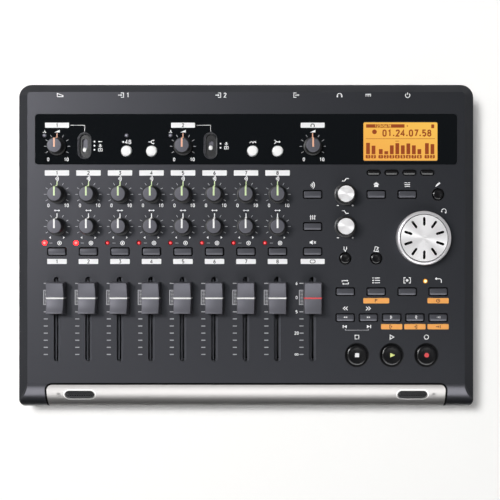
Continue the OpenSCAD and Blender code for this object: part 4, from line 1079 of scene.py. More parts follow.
# %% Function keys
FUNCTION_D = 2.7
FUNCTION = {"width": 8.0, "depth": FUNCTION_D, "corner": FUNCTION_D / 2 - HAIR, "height": 0.9}
FUNCTION_SLOPES = [(0.6, 0, 0, 0), (0.36, 0.05, 0.05, 0.05), (0.03, 1.0, 0.35, 0.45), (0, 1.1, 0.45, 0.55)]
FUNCTION_GAP, FUNCTION_PITCH = 0.6, 11.35
function_x, function_y = middle("function_keys")[:2]
function_places = [(function_x + (k - 1.5) * FUNCTION_PITCH, function_y) for k in range(4)]
wider = 2 * FUNCTION_GAP + FOOT_REACH
piece("function_key_caps",
      key_row("function_keys", [key_stack(p, **FUNCTION, slopes=FUNCTION_SLOPES) for p in function_places],
              function_places, oval(FUNCTION["width"] + wider, FUNCTION_D + wider),
              gloss_black, gloss_black),
      "function_keys", ["function_keys"])
print("function keys at y", round(function_y, 1))

# %% Transport buttons and their symbols
BIG = {"radius": 6.2, "gap": 0.35, "height": 1.2, "bevel": 0.6, "hollow": 0.45}
SYMBOL_SUNK, SYMBOL_PROUD = 0.04, 0.12
SYMBOLS = {"stop_button": (rounded(2.6, 2.6, 0.15, FEW_STEPS), white_ink),
           "play_button": (arc((0, 0), 2.0, 0, 240, 2) * (1.0, 0.85), lime_ink),
           "record_button": (round_outline(1.5), red_ink)}
transport_y = middle("stop_button")[1]
face_z = deck_z + BIG["height"] - BIG["hollow"]
for node, (symbol, colour) in SYMBOLS.items():
    at = middle(node)[:2]
    film = prism(symbol, face_z - SYMBOL_SUNK, face_z + SYMBOL_PROUD, at)
    piece(node + "_top", round_buttons(node, [at], BIG, gloss_black) + [(*film, colour)],
          node, [node])
print("transport buttons at y", round(transport_y, 1))

# %% [markdown]
# ## Lamps and slide switches
# Each lamp is a small round-nosed rod of resin that carries light up from the board. The first
# two record lamps shine brightly, the other six glow, the edit lamp is amber and the three on
# the fascia are off. The two input switches have a white lever with a domed thumb rest and a
# grey shutter that slides with it under the deck and keeps dust out of the slot. The lever
# sits low in a polished oval with two raised lips.

# %% Lamps
LAMP_R, LAMP_CORE, LAMP_PROUD = 1.4, 0.85, 0.4
LAMP_ROWS, LAMP_STEPS = 5, 24
LAMP_LEFT = 8                           # lamps stand this far left of their strip or key
REC_LAMP_UP, PEAK_LAMP_UP, MODE_LAMP_UP, EDIT_LAMP_UP = 5.5, 7, 10, 6.7
rec_lamps = [(x - LAMP_LEFT, rec_y + REC_LAMP_UP) for x in track_x]
dark_lamps = [(x - LAMP_LEFT, trim_y + PEAK_LAMP_UP) for x in trim_x[:2]]
dark_lamps.append((mode_places[0][0], mode_y + MODE_LAMP_UP))
lamps = {"bright": rec_lamps[:2], "lit": rec_lamps[2:], "off": dark_lamps,
         "amber": [(column(3) - LAMP_LEFT, repeat_y + EDIT_LAMP_UP)]}
hot = math.degrees(math.acos(LAMP_CORE / LAMP_R))
nose = (0, deck_z + LAMP_PROUD - LAMP_R)
dome = np.vstack([[(LAMP_R, base("indicator_lamps"))], arc(nose, LAMP_R, 0, hot, LAMP_ROWS),
                  arc(nose, LAMP_R, hot, 90, LAMP_ROWS)[1:]])
dome[-1, 0] = 0
parts = []
for kind, places in lamps.items():
    rows = [lamp_rims[kind]] * (LAMP_ROWS + 1) + [lamp_cores[kind]] * LAMP_ROWS
    coats = [finish for finish in rows for _ in range(LAMP_STEPS)] + [lamp_rims[kind]]
    parts.append((*joined([turn(dome, p, LAMP_STEPS) for p in places]), coats * len(places)))
piece("lamp_domes", parts, "case", ["indicator_lamps"])
print("lamps:", sum(len(places) for places in lamps.values()))

# %% Input switch levers
LEVER_W, LEVER_L, LEVER_FOOT = 2.8, 3.2, 0.5
THUMB = [(1, 0.9), (0.93, 0.45), (0.75, 0.12), (0.4, 0)]                # size and drop from the top
SLIDER = {"wider": 2, "corner": 0.3, "thick": 1}
SHUTTER = {"width": 4.6, "length": 14.6, "corner": 0.4, "drop": 0.15, "thick": 0.4}


def lever(node, name):
    """Oval stem with a domed thumb rest, the sliding foot below it and the shutter between them."""
    low, high, at = base(node), top(node), middle(node)[:2]
    stem = oval(LEVER_W, LEVER_L, steps=6)
    rows = [level_ring(stem, low + LEVER_FOOT, at)]
    rows += [level_ring(stem * size, high - drop, at) for size, drop in THUMB]
    foot = rounded(LEVER_W + SLIDER["wider"], LEVER_L + SLIDER["wider"], SLIDER["corner"], FEW_STEPS)
    slider = prism(foot, low, low + SLIDER["thick"], at)
    cover_z = under_z - SHUTTER["drop"]
    cover = prism(rounded(SHUTTER["width"], SHUTTER["length"], SHUTTER["corner"], FEW_STEPS),
                  cover_z - SHUTTER["thick"], cover_z, at)
    return piece(name, [(*loft(rows), white_inlay), (*slider, white_inlay), (*cover, fader_abs)],
                 node, [node])


for node in ("input_switch_a", "input_switch_b"):
    lever(node, node + "_lever")
print("levers stand", round(top("input_switch_a") - deck_z, 2), "mm from the deck's face")

# %% Bezels of the input switches
# Profile of a bezel: how far in from the outer oval, and height over the deck.
BEZEL = [(0.0, -0.3), (0.0, 0.02), (0.12, 0.16), (0.34, 0.18), (0.58, 0.02), (0.76, 0.02), (0.92, 0.16),
         (1.1, 0.18), (1.3, -0.1), (1.5, -1.1), (1.5, -1.18), (0.0, -0.3)]
BEZEL_SIZE, BEZEL_STEPS = np.array([8.9, 17.1]), 10
LIP_ROWS = (1, 2, 6, 7)                 # these rows of the profile are the two raised lips
rings = [(oval(*(BEZEL_SIZE - 2 * inward), BEZEL_STEPS), deck_z + lift) for inward, lift in BEZEL]
bezels = [loft([level_ring(ring, z, p) for ring, z in rings], (False, False)) for p in switch_places]
coats = [charcoal_abs if row in LIP_ROWS else smooth_abs for row in range(len(BEZEL) - 1)
         for _ in range(len(rings[0][0]))]
piece("switch_bezels", [(*joined(bezels), coats * len(bezels))], "case")
print("bezels:", len(bezels), "with two lips each")

# %% [markdown]
# ## Pen strokes and pictograms
# Everything printed on the deck is drawn with a few pens. A stroke is a path moved half a
# pen's width to both hands, and solid marks are plain outlines. Each control has a small
# pictogram or a plain number, such as a house, a tuning fork, a loop arrow or the 0 and 10 at
# the ends of a knob's travel, so it reads the same in every language.

# %% Pens, spots and numbers
PEN, FINE = 0.5, 0.42
BOW_STEP = 18                           # degrees of an arc for each run of a stroke
DIGIT_STEP = 1.75                       # from one digit to the next, in half heights


def ribbon(path, width):
    """Outline of a stroke: path points moved sideways by width / 2, mitred at the bends."""
    p = np.asarray(path, float)
    run = np.diff(p, axis=0)
    run /= np.linalg.norm(run, axis=1, keepdims=True)
    side = np.column_stack([-run[:, 1], run[:, 0]])
    before, after = np.vstack([side[:1], side]), np.vstack([side, side[-1:]])
    mid = before + after
    mid /= np.linalg.norm(mid, axis=1, keepdims=True)
    move = mid * (width / 2 / np.clip((mid * after).sum(1), 0.5, 1))[:, None]
    return np.vstack([p + move, (p - move)[::-1]])


def pen(*path):
    """A stroke of an icon, in units of the icon's half height."""
    return "pen", np.array(path, float)


def bow(x, y, radius, start, stop):
    """A stroke along an arc."""
    return "pen", arc((x, y), radius, start, stop, max(4, round(abs(stop - start) / BOW_STEP)))


def fill(*outline):
    """A solid mark of an icon."""
    return "fill", np.array(outline, float)


def spot(x, y, radius):
    """A solid round mark."""
    return "fill", round_outline(radius, (x, y))


def flipped(icon):
    """An icon seen in a mirror, left for right."""
    return [(kind, path * (-1, 1)) for kind, path in icon]


def circle(x, y, radius):
    """A ring as two half bows, so that each stroke has two ends."""
    return [bow(x, y, radius, 0, 180), bow(x, y, radius, 180, 360)]


DIGITS = {
    "0": [bow(0, 0.5, 0.5, 0, 180), pen((-0.5, 0.5), (-0.5, -0.5)), bow(0, -0.5, 0.5, 180, 360),
          pen((0.5, -0.5), (0.5, 0.5))],
    "1": [pen((-0.35, 0.6), (0.1, 1), (0.1, -1))],
    "2": [pen((-0.5, 0.55), (-0.35, 0.9), (0, 1), (0.35, 0.9), (0.5, 0.5), (0.3, 0.1), (-0.5, -1),
              (0.55, -1))],
    "3": [pen((-0.5, 1), (0.5, 1), (0, 0.2), (0.4, 0.05), (0.55, -0.4), (0.3, -0.9), (-0.1, -1),
              (-0.5, -0.75))],
    "4": [pen((0.25, -1), (0.25, 1), (-0.6, -0.4), (0.6, -0.4))],
    "5": [pen((0.5, 1), (-0.4, 1), (-0.45, 0.1), (0.05, 0.25), (0.5, -0.05), (0.5, -0.6), (0.1, -1),
              (-0.5, -0.8))],
    "6": [pen((0.35, 1), (-0.2, 0.5), (-0.5, -0.4), (-0.3, -0.9), (0, -1), (0.4, -0.8), (0.5, -0.4),
              (0.3, 0), (-0.05, 0.05), (-0.45, -0.25))],
    "7": [pen((-0.5, 1), (0.55, 1), (-0.15, -1))],
    "8": circle(0, 0.52, 0.45) + circle(0, -0.48, 0.52),
    "+": [pen((-0.6, 0), (0.6, 0)), pen((0, 0.15), (0, 0.6)), pen((0, -0.15), (0, -0.6))],
    "-": [pen((-0.6, 0), (0.6, 0))],
}
print("digits:", "".join(DIGITS))

# %% The pictograms
ARROW = np.array([(0, 0.55), (0.75, 0), (0, -0.55)])


def arrow(x, y, turned=0.0, size=1.0):
    """A solid arrow head with its foot at (x, y), turned from pointing right, in degrees."""
    a = math.radians(turned)
    spin = np.array([(math.cos(a), math.sin(a)), (-math.sin(a), math.cos(a))])
    return "fill", ARROW * size @ spin + (x, y)


ICONS = {
    "pedal": [pen((-1.3, -0.7), (1.3, -0.7), (1.3, -0.2), (-1.3, 0.8), (-1.3, -0.7))],
    "into": [pen((-0.1, 1), (1.1, 1), (1.1, -1), (-0.1, -1)), pen((-1.3, 0), (-0.2, 0)), arrow(-0.2, 0)],
    "out": [pen((0.1, 1), (-1.1, 1), (-1.1, -1), (0.1, -1)), pen((-0.5, 0), (0.7, 0)), arrow(0.7, 0)],
    "phones": [bow(0, -0.2, 1, 0, 180), fill((-1.3, -0.1), (-0.7, -0.1), (-0.7, -1), (-1.3, -1)),
               fill((0.7, -0.1), (1.3, -0.1), (1.3, -1), (0.7, -1))],
    "steady": [pen((-1.3, 0.35), (1.3, 0.35))]
              + [pen((x - 0.3, -0.35), (x + 0.3, -0.35)) for x in (-1, 0, 1)],
    "power": [bow(0, -0.1, 1, 130, 410), pen((0, 0.2), (0, 1.2))],
    "wedge": [fill((-1.6, -0.7), (1.6, -0.7), (1.6, 0.8))],
    "peak": [pen((-1, -0.7), (-0.2, -0.7), (0.2, 0.8), (0.6, -0.7), (1.1, -0.7))],
    "jack": [fill((-1.3, -0.4), (-0.2, -0.4), (-0.2, 0.4), (-1.3, 0.4)), pen((-0.2, 0), (1.3, 0))],
    "capsule": [spot(0, 0.4, 0.6), bow(0, 0.3, 1, 200, 340), pen((0, -0.7), (0, -1.2))],
    "inside": [pen((-1.2, 0.8), (1.2, 0.8), (1.2, -0.8), (-1.2, -0.8), (-1.2, 0.8)), spot(0, 0, 0.4)],
    "branch": [pen((-1.3, 0), (-0.3, 0), (0.3, 0.7), (0.8, 0.7)), pen((-0.3, 0), (0.3, -0.7), (0.8, -0.7)),
               arrow(0.8, 0.7, 0, 0.7), arrow(0.8, -0.7, 0, 0.7)],
    "hop": [bow(-0.5, -0.6, 0.7, 20, 180), bow(0.9, -0.6, 0.7, 60, 180), arrow(1.2, 0, -40, 0.8)],
    "merge": [pen((-1.4, 0.8), (-0.3, 0), (0.6, 0)), pen((-1.4, -0.8), (-0.6, -0.2)), arrow(0.6, 0)],
    "waves": [bow(-1.2, 0, r, -48, 48) for r in (0.6, 1.3, 2.0)],
    "across": [pen((-0.8, 0), (0.8, 0)), arrow(0.8, 0), arrow(-0.8, 0, 180)],
    "record": circle(0, 0, 0.85) + [spot(0, 0, 0.4)],
    "sliders": [pen((x, 1), (x, -1)) for x in (-0.9, 0, 0.9)]
               + [pen((x - 0.4, y), (x + 0.4, y)) for x, y in ((-0.9, 0.3), (0, -0.4), (0.9, 0.5))],
    "mute": [fill((-1.3, 0.4), (-0.8, 0.4), (0, 1), (0, -1), (-0.8, -0.4), (-1.3, -0.4)),
             pen((0.5, 0.5), (1.4, -0.5)), pen((0.5, -0.5), (0.85, -0.1)), pen((1.05, 0.1), (1.4, 0.5))],
    "high": [pen((-1.5, -0.6), (-0.3, -0.6), (0.4, 0.6), (1.5, 0.6))],
    "house": [fill((-1.3, 0), (0, 1.1), (1.3, 0)), fill((-0.8, -0.1), (0.8, -0.1), (0.8, -1), (-0.8, -1))],
    "menu": [pen((-1.2, y), (1.2, y)) for y in (0.8, 0, -0.8)],
    "pencil": [fill((-1.2, -1.1), (-1, -0.4), (0.5, 1), (1.1, 0.4), (-0.4, -0.9))],
    "fork": [pen((-0.55, 1.1), (-0.55, 0.1)), bow(0, 0.1, 0.55, 180, 360), pen((0.55, 0.1), (0.55, 1.1)),
             pen((0, -0.5), (0, -1.2))],
    "metronome": [pen((-0.9, -1), (-0.4, 1), (0.4, 1), (0.9, -1), (-0.9, -1)), pen((0, -0.5), (1.1, 0.8))],
    "dial": [bow(0, 0, 0.95, -40, 210), arrow(0.8, -0.45, -110, 0.9)],
    "loop": [pen((-1.3, 0), (-1.3, 0.7), (0.7, 0.7)), arrow(0.7, 0.7, 0, 0.8),
             pen((1.3, 0), (1.3, -0.7), (-0.7, -0.7)), arrow(-0.7, -0.7, 180, 0.8)],
    "list": [pen((-0.6, y), (1.4, y)) for y in (0.9, 0, -0.9)]
            + [spot(-1.2, y, 0.25) for y in (0.9, 0, -0.9)],
    "punch": [pen((-0.6, 1), (-1.2, 1), (-1.2, -1), (-0.6, -1)),
              pen((0.6, 1), (1.2, 1), (1.2, -1), (0.6, -1)), spot(0, 0, 0.5)],
    "undo": [pen((1.2, -0.9), (1.2, 0.2), (0.7, 0.6), (-0.5, 0.6)), arrow(-0.5, 0.6, 180)],
    "flag": [pen((-0.6, -1), (-0.6, 1)), fill((-0.4, 1), (1.1, 0.45), (-0.4, -0.1))],
    "clock": circle(0, 0, 0.95) + [pen((0, 0.55), (0, 0), (0.45, 0))],
    "rewind": [fill((-1.5, 0), (-0.1, 0.75), (-0.1, -0.75)), fill((0, 0), (1.4, 0.75), (1.4, -0.75))],
    "chevrons": [pen((0, 0.8), (-0.9, 0), (0, -0.8)), pen((1.1, 0.8), (0.2, 0), (1.1, -0.8))],
    "to_start": [pen((-1.1, 0.8), (-1.1, -0.8)), fill((-0.8, 0), (0.8, 0.8), (0.8, -0.8))],
    "mark_in": [pen((-0.3, 1), (-1.1, 1), (-1.1, -1), (-0.3, -1)), arrow(-0.5, 0, 0, 1.2)],
    "mark_to": [pen((-1.3, 0), (-0.1, 0)), arrow(-0.1, 0, 0, 1.2), pen((1.2, 0.9), (1.2, -0.9))],
    "square": [pen((-0.8, 0), (-0.8, 0.8), (0.8, 0.8), (0.8, -0.8), (-0.8, -0.8), (-0.8, 0))],
    "triangle": [pen((-0.7, 0), (-0.7, 0.9), (0.9, 0), (-0.7, -0.9), (-0.7, 0))],
    "disc": circle(0, 0, 0.9),
    "pair": [bow(-0.5, 0, 0.9, 60, 300), bow(0.5, 0, 0.9, -120, 120)],
    "endless": circle(-0.75, 0, 0.65) + circle(0.75, 0, 0.65),
    "left": [arrow(0.3, 0, 180, 1.5)],
    "right": [arrow(-0.3, 0, 0, 1.5)],
    "play": [arrow(0, 0)],
    "dash": [pen((-1, 0), (1, 0))],
    "dot": [spot(0, 0, 1)],
}
for name in ("high", "rewind", "to_start", "mark_in", "chevrons"):
    ICONS[name + "_flipped"] = flipped(ICONS[name])


def draw(icon, x, y, size, width=PEN):
    """Flat outlines of an icon about (x, y), with its half height scaled to size."""
    return [path * size + (x, y) if kind == "fill" else ribbon(path * size + (x, y), width)
            for kind, path in icon]


def mark(name, x, y, size, width=PEN):
    """Outlines of the pictogram with that name, or else of a number, its digits side by side."""
    if name in ICONS:
        return draw(ICONS[name], x, y, size, width)
    step = DIGIT_STEP * size
    first = x - step * (len(name) - 1) / 2
    return [line for k, digit in enumerate(name)
            for line in draw(DIGITS[digit], first + k * step, y, size, width)]


def plate(x, y, width, depth, corner=0.35):
    """A printed block with slightly round corners."""
    return [rounded(width, depth, corner, FEW_STEPS) + (x, y)]


print("pictograms:", len(ICONS))

# %% [markdown]
# ## Printing the deck
# The deck and the fascia are screen printed: white plates and marks, a few orange plates for
# the second meaning of a key, and dark figures on the plates. A print is a film of ink a few
# hundredths of a millimetre thick, so each mark is a thin prism that rests in the surface.

# %% Marks round the pot knobs
FILM = 0.03
TICK_IN, TICK_OUT, TICK_W = 6.7, 8.3, 0.36
CENTRE_IN, CENTRE_W = 5.95, 0.6
SIDE_TICKS = [s * a for s in (-1, 1) for a in (30, 60, 90, 120)]
deck_white, deck_grey, deck_dark, deck_orange, deck_brown = [], [], [], [], []
fascia_white, fascia_dark = [], []


def print_on(name, outlines, z, colour, body="case"):
    """Sweeps flat outlines from just under a surface to a film's thickness above it."""
    shape = joined([prism(outline, z - FILM, z + FILM) for outline in outlines])
    return piece(name, [(*shape, colour)], body, merge=False)


def ticks(xs, y, angles, inner=TICK_IN, width=TICK_W):
    """Short strokes along radii, at angles from straight up, round each x of a row."""
    ways = [(math.sin(math.radians(a)), math.cos(math.radians(a))) for a in angles]
    return [ribbon([(x + dx * inner, y + dy * inner), (x + dx * TICK_OUT, y + dy * TICK_OUT)], width)
            for x in xs for dx, dy in ways]


for x in track_x:
    deck_grey += ticks([x], send_y, SIDE_TICKS) + ticks([x], pan_y, SIDE_TICKS)
for name, xs, y, z, colour, slot in (
        ("send_centre_ticks", track_x, send_y, deck_z, green_inlay, "case_charcoal"),
        ("pan_centre_ticks", track_x, pan_y, deck_z, white_ink, "case_charcoal"),
        ("trim_centre_ticks", trim_x, trim_y, fascia_z, salmon_inlay, "fascia_black")):
    print_on(name, ticks(xs, y, [0], CENTRE_IN, CENTRE_W), z, colour)
print_on("trim_ticks", ticks(trim_x, trim_y, SIDE_TICKS), fascia_z, grey_ink)
print("ticks on the deck:", len(deck_grey))

# %% Track strips
STRIP_PLATE, NUMBER_PLATE, MASTER_PLATE = (15.5, 3.4), (12.4, 3.2), (15.2, 3.2)
STRIP_FIGURE, NUMBER_FIGURE = (1.05, 0.5), (1.1, 0.46)                  # half height and pen width
KEY_LEGEND_UP, KEY_LEGEND = 5.8, 1.45
LAMP_DASH_LEFT, LAMP_DASH = 3.9, (1.0, 0.3)
strip_y, number_y, lamp_y = send_y + 13.6, rec_y - 6.3, rec_y + 5.4
# Marks of one strip: name, x from the strip, y, half height and pen width.
STRIP_MARKS = [("waves", 0, send_y + 10, 1.15, PEN), ("0", -5.4, send_y - 7, 0.95, FINE),
               ("10", 6, send_y - 7, 0.95, FINE), ("across", 0, pan_y + 10.2, 1.3, PEN),
               ("left", -4.2, pan_y - 7, 1.0, PEN), ("right", 4.2, pan_y - 7, 1.0, PEN),
               ("record", 1.6, lamp_y, 1.4, FINE)]
for k, x in enumerate(track_x):
    deck_white += plate(x, strip_y, *STRIP_PLATE) + plate(x, number_y, *NUMBER_PLATE)
    deck_dark += mark(str(k + 1), x, strip_y, *STRIP_FIGURE) + mark(str(k + 1), x, number_y, *NUMBER_FIGURE)
    for name, dx, y, size, width in STRIP_MARKS:
        deck_white += mark(name, x + dx, y, size, width)
    deck_grey += mark("dash", x - LAMP_DASH_LEFT, lamp_y, *LAMP_DASH)
deck_white += plate(master_x, number_y, *MASTER_PLATE)
deck_dark += mark("pair", master_x, number_y, 1.15, FINE)
for name, y in (("waves", send_y), ("sliders", pan_y), ("mute", rec_y)):
    deck_white += mark(name, master_x, y + KEY_LEGEND_UP, KEY_LEGEND)
print("track strips:", len(track_x))

# %% Fader scales
SCALE_X, SCALE_STEP, SCALE_TOP = -7.1, 4.51, fader_y + 9.15
SCALE_STEPS = [0, 4, 5, 6, 7, 8, 9, 10]                 # the ladder takes the place of steps 1 to 3
DASH = {"width": 2.6, "depth": 0.62, "radius": 0.1}
LADDER, LADDER_W = (fader_y + 4.75, fader_y - 4.25), 0.55
RUNG, RUNGS, RUNG_RIGHT = {"width": 1.9, "depth": 0.42, "radius": 0.05}, 9, 0.3
FIGURE_X = -10.2
for x in track_x + [master_x]:
    dashes = [(x + SCALE_X, SCALE_TOP - k * SCALE_STEP) for k in SCALE_STEPS]
    deck_grey += [rounded(**DASH, steps=1) + p for p in dashes]
    left, right = (x + SCALE_X + s * DASH["width"] / 2 for s in (-1, 1))
    deck_grey.append(ribbon([(right, LADDER[0]), (left, LADDER[0]), (left, LADDER[1]), (right, LADDER[1])],
                            LADDER_W))
    deck_grey += [rounded(**RUNG, steps=1) + (x + SCALE_X + RUNG_RIGHT, y)
                  for y in np.linspace(*LADDER, RUNGS + 2)[1:-1]]
for name, step, size in (("6", 0, 0.85), ("0", 2, 0.85), ("5", 4, 0.85), ("20", 7, 0.85),
                         ("endless", 10, 0.8)):
    deck_white += mark(name, master_x + FIGURE_X, SCALE_TOP - step * SCALE_STEP, size, TICK_W)
print("fader scales:", len(track_x) + 1)

# %% Key columns and rear edge
PHONE_X, PHONO_X = [-65.5, -3.5, 59.4], [24.4, 39.4]    # places of the sockets along the rear wall
DC_X, REMOTE_X, POWER_X = 77.5, -118, 102.6
INPUT_X = {"1": -77.4, "2": -15.7}
REAR_Y, REAR_SIZE = 96.1, 1.4
ORANGE, ORANGE_WIDE, ORANGE_CORNER, ORANGE_DOWN = (13.5, 3.4), 16.5, 0.5, 5.7
ORANGE_FIGURE = (1.1, 0.45)
BRACE_DOWN, BRACE_UP, BRACE_W = 7.9, 0.7, 0.3
# Legends: pictogram or number, x, y and half height.
legends = [("high", column(0), send_y + 9.3, 1.4), ("high_flipped", column(0), pan_y + 9.2, 1.4),
           ("house", column(1), send_y + 6.2, 1.5), ("menu", column(2), send_y + 6.2, 1.45),
           ("pencil", column(3), send_y + 6.4, 1.4), ("fork", column(0), round_y + 5.8, 1.5),
           ("metronome", column(1), round_y + 5.8, 1.5), ("dial", wheel_x + 13.5, wheel_y + 17.2, 1.5),
           ("loop", column(0), repeat_y + 6.0, 1.5), ("list", column(1), repeat_y + 7.2, 1.7),
           ("punch", column(2), repeat_y + 7.2, 1.7), ("undo", column(3), repeat_y + 7.2, 1.7),
           ("chevrons", search_x[0], search_y + 5.9, 1.4),
           ("chevrons_flipped", search_x[1], search_y + 5.9, 1.4),
           ("to_start", search_x[0], search_y - 5.6, 1.25),
           ("to_start_flipped", search_x[1], search_y - 5.6, 1.25)]
legends += [(name, place[0], transport_y + 11.4, 1.5)
            for name, place in zip(("square", "triangle", "disc"), wells)]
legends += [(figure, column(0) + dx, y, 1.0) for y in (send_y - 7.1, pan_y - 7.2)
            for figure, dx in (("-", -4.7), ("+", 4.7))]
rear_marks = {"pedal": REMOTE_X, "phones": PHONE_X[2], "steady": DC_X, "power": POWER_X,
              "out": sum(PHONO_X) / 2}
legends += [(name, x, REAR_Y, REAR_SIZE) for name, x in rear_marks.items()]
for figure, x in INPUT_X.items():
    legends += [("into", x - 1.9, REAR_Y, REAR_SIZE), (figure, x + 2.4, REAR_Y, 1.3)]
for legend in legends:
    deck_white += mark(*legend)
brace_y = search_y - BRACE_DOWN
brace = [(search_x[k], brace_y + up) for k, up in ((0, BRACE_UP), (0, 0), (1, 0), (1, BRACE_UP))]
deck_grey.append(ribbon(brace, BRACE_W))
second = [("flag", column(1), repeat_y, ORANGE_WIDE), ("clock", column(3), repeat_y, ORANGE[0])]
second += [(name, x, search_y, ORANGE[0])
           for name, x in zip(("mark_in", "mark_in_flipped", "mark_to"), search_x[2:])]
for name, x, y, width in second:
    deck_orange += plate(x, y - ORANGE_DOWN, width, ORANGE[1], ORANGE_CORNER)
    deck_brown += mark(name, x, y - ORANGE_DOWN, *ORANGE_FIGURE)
print("legends:", len(legends), "orange plates:", len(second))

# %% Fascia legends
LEADER_RIGHT, LEADER_UP, LEADER_W = 8.6, 9.4, 0.28
STOP_DOT, STOP_DOT_X, STOP_ICON_X, STOP_STEP = 0.55, 6.3, 10, 2.6
HEAD_FIGURE, SMALL_ICON = (1.0, 0.45), (1.0, 0.4)
heading_y = trim_y + 13.4
# Marks of one level knob: name, x from the knob, y, half height and pen width.
KNOB_MARKS = [("wedge", 0, trim_y + 9.6, 1.1, PEN), ("0", -5.6, trim_y - 8.3, 0.95, FINE),
              ("10", 5.9, trim_y - 8.3, 0.95, FINE)]
for x, figure in zip(trim_x, "12"):
    fascia_dark += mark(figure, x, heading_y, *HEAD_FIGURE)
    over = x + SWITCH_OFFSET[0]
    leader = [(x + LEADER_RIGHT, heading_y), (over, heading_y), (over, trim_y + LEADER_UP)]
    fascia_white.append(ribbon(leader, LEADER_W))
    fascia_white += mark("peak", x - LAMP_LEFT, trim_y + 9.5, *SMALL_ICON)
fascia_dark += mark("phones", master_x, heading_y, 1.05)
for x in trim_x:
    fascia_white += plate(x, heading_y, *MASTER_PLATE)
    for name, dx, y, size, width in KNOB_MARKS:
        fascia_white += mark(name, x + dx, y, size, width)
# Stops of the levers: switch, pictogram and steps from the middle.
stops = [(0, "jack", 1), (0, "capsule", 0), (0, "inside", -1), (1, "capsule", 0.5), (1, "inside", -0.5)]
for k, name, steps in stops:
    x, y = switch_places[k]
    fascia_white += mark("dot", x + STOP_DOT_X, y + steps * STOP_STEP, STOP_DOT)
    fascia_white += mark(name, x + STOP_ICON_X, y + steps * STOP_STEP, *SMALL_ICON)
for (x, y), (name, size) in zip(mode_places, (("+48", 1.2), ("branch", KEY_LEGEND), ("hop", KEY_LEGEND),
                                              ("merge", KEY_LEGEND))):
    fascia_white += mark(name, x, y + KEY_LEGEND_UP, size)
for name, outlines, z, colour, slot in (
        ("deck_white_print", deck_white, deck_z, white_ink, "case_charcoal"),
        ("deck_grey_print", deck_grey, deck_z, grey_ink, "case_charcoal"),
        ("deck_orange_print", deck_orange, deck_z, orange_ink, "case_charcoal"),
        ("deck_plate_figures", deck_dark, deck_z + FILM, dark_ink, "case_charcoal"),
        ("deck_orange_figures", deck_brown, deck_z + FILM, brown_ink, "case_charcoal"),
        ("fascia_white_print", fascia_white, fascia_z, white_ink, "fascia_black"),
        ("fascia_plate_figures", fascia_dark, fascia_z + FILM, dark_ink, "fascia_black")):
    print_on(name, outlines, z, colour)
print("fascia marks:", len(fascia_white) + len(fascia_dark))

# %% Marks on the bar and on the search keys
BAR_MARK_X, BAR_MARK = 119.4, 1.6
KEY_SYMBOL_UP, KEY_SYMBOL_W = 0.4, 0.36
lines = mark("capsule", -BAR_MARK_X, 0, BAR_MARK) + mark("capsule", BAR_MARK_X, 0, BAR_MARK)
shape = joined([loft([on_curve(line, lift) for lift in (-FILM, FILM)]) for line in lines])
piece("bar_print", [(*shape, pale_ink)], "case", merge=False)
symbols = []
for x, name, size in zip(search_x, ("rewind", "rewind_flipped", "mark_in", "mark_in_flipped", "mark_to"),
                         (0.8, 0.8, 0.85, 0.85, 0.85)):
    symbols += mark(name, x, search_y + KEY_SYMBOL_UP, size, KEY_SYMBOL_W)
print_on("search_key_symbols", symbols, deck_z + KEY["height"], white_ink, "locate_keys")
print("key symbols:", len(search_x))

# %% [markdown]
# ## Display
# The display is a glass sandwich behind the fascia. Its picture is made of dark crystal cells
# over the amber light: a heading bar, a time counter, and level bars for the two inputs, the
# eight tracks and the two outputs. The cells are thin prisms on the glass.

# %% Display glass
WINDOW, GLASS_CORNER, MASK_CORNER = (47.2, 25.3), 0.9, 1.0
GLASS_T, MASK_DROP, TRAY_RIM = 0.4, 0.15, 6
screen, shelf_z = (screen_x, screen_y), under_z - RECESS
glass = prism(rounded(SCREEN_W, SCREEN_D, GLASS_CORNER), screen_z - GLASS_T, screen_z, screen)
mask = prism(rounded(*WINDOW, MASK_CORNER), shelf_z, screen_z - MASK_DROP, screen)
tray = prism(rounded(SCREEN_W + TRAY_RIM, SCREEN_D + TRAY_RIM, MASK_CORNER), base("lcd_module"),
             shelf_z, screen)
piece("display_glass", [(*glass, amber_glass), (*mask, socket_nylon), (*tray, socket_nylon)],
      "case", ["lcd_module"])
print("display glass", SCREEN_W, "by", SCREEN_D, "mm")

# %% The display's picture
corner_x, corner_y = screen_x - SCREEN_W / 2, screen_y - SCREEN_D / 2
HEAD_Y, TIME_Y, POINT_Y, LINE_Y, FOOT_Y, BAR_Y = 22.0, 17.5, 16.0, 13.9, 2.5, 4.1
PAIR_X, POINT_X, PAIR_STEP = 15, 19.2, 8.4
BAR_W, FOOT_SIZE, FOOT_FIGURE = 2.4, (3.0, 2.2, 0.5), (0.72, 0.34)
LEVELS = [7.2, 5.4, 3.2, 1.9, 5.6, 7.0, 5.6, 6.8, 5.6, 3.2, 7.0, 6.4]
bar_x = [2.9, 6.4] + [11.0 + 3.5 * k for k in range(8)] + [40.3, 43.8]


def cell(x, y, width, depth, corner=0.1):
    """A dark block of the picture, measured from the glass's front left corner."""
    return plate(corner_x + x, corner_y + y, width, depth, corner)


def sign(name, x, y, size, width=PEN):
    """A pictogram or number of the picture, measured from the same corner."""
    return mark(name, corner_x + x, corner_y + y, size, width)


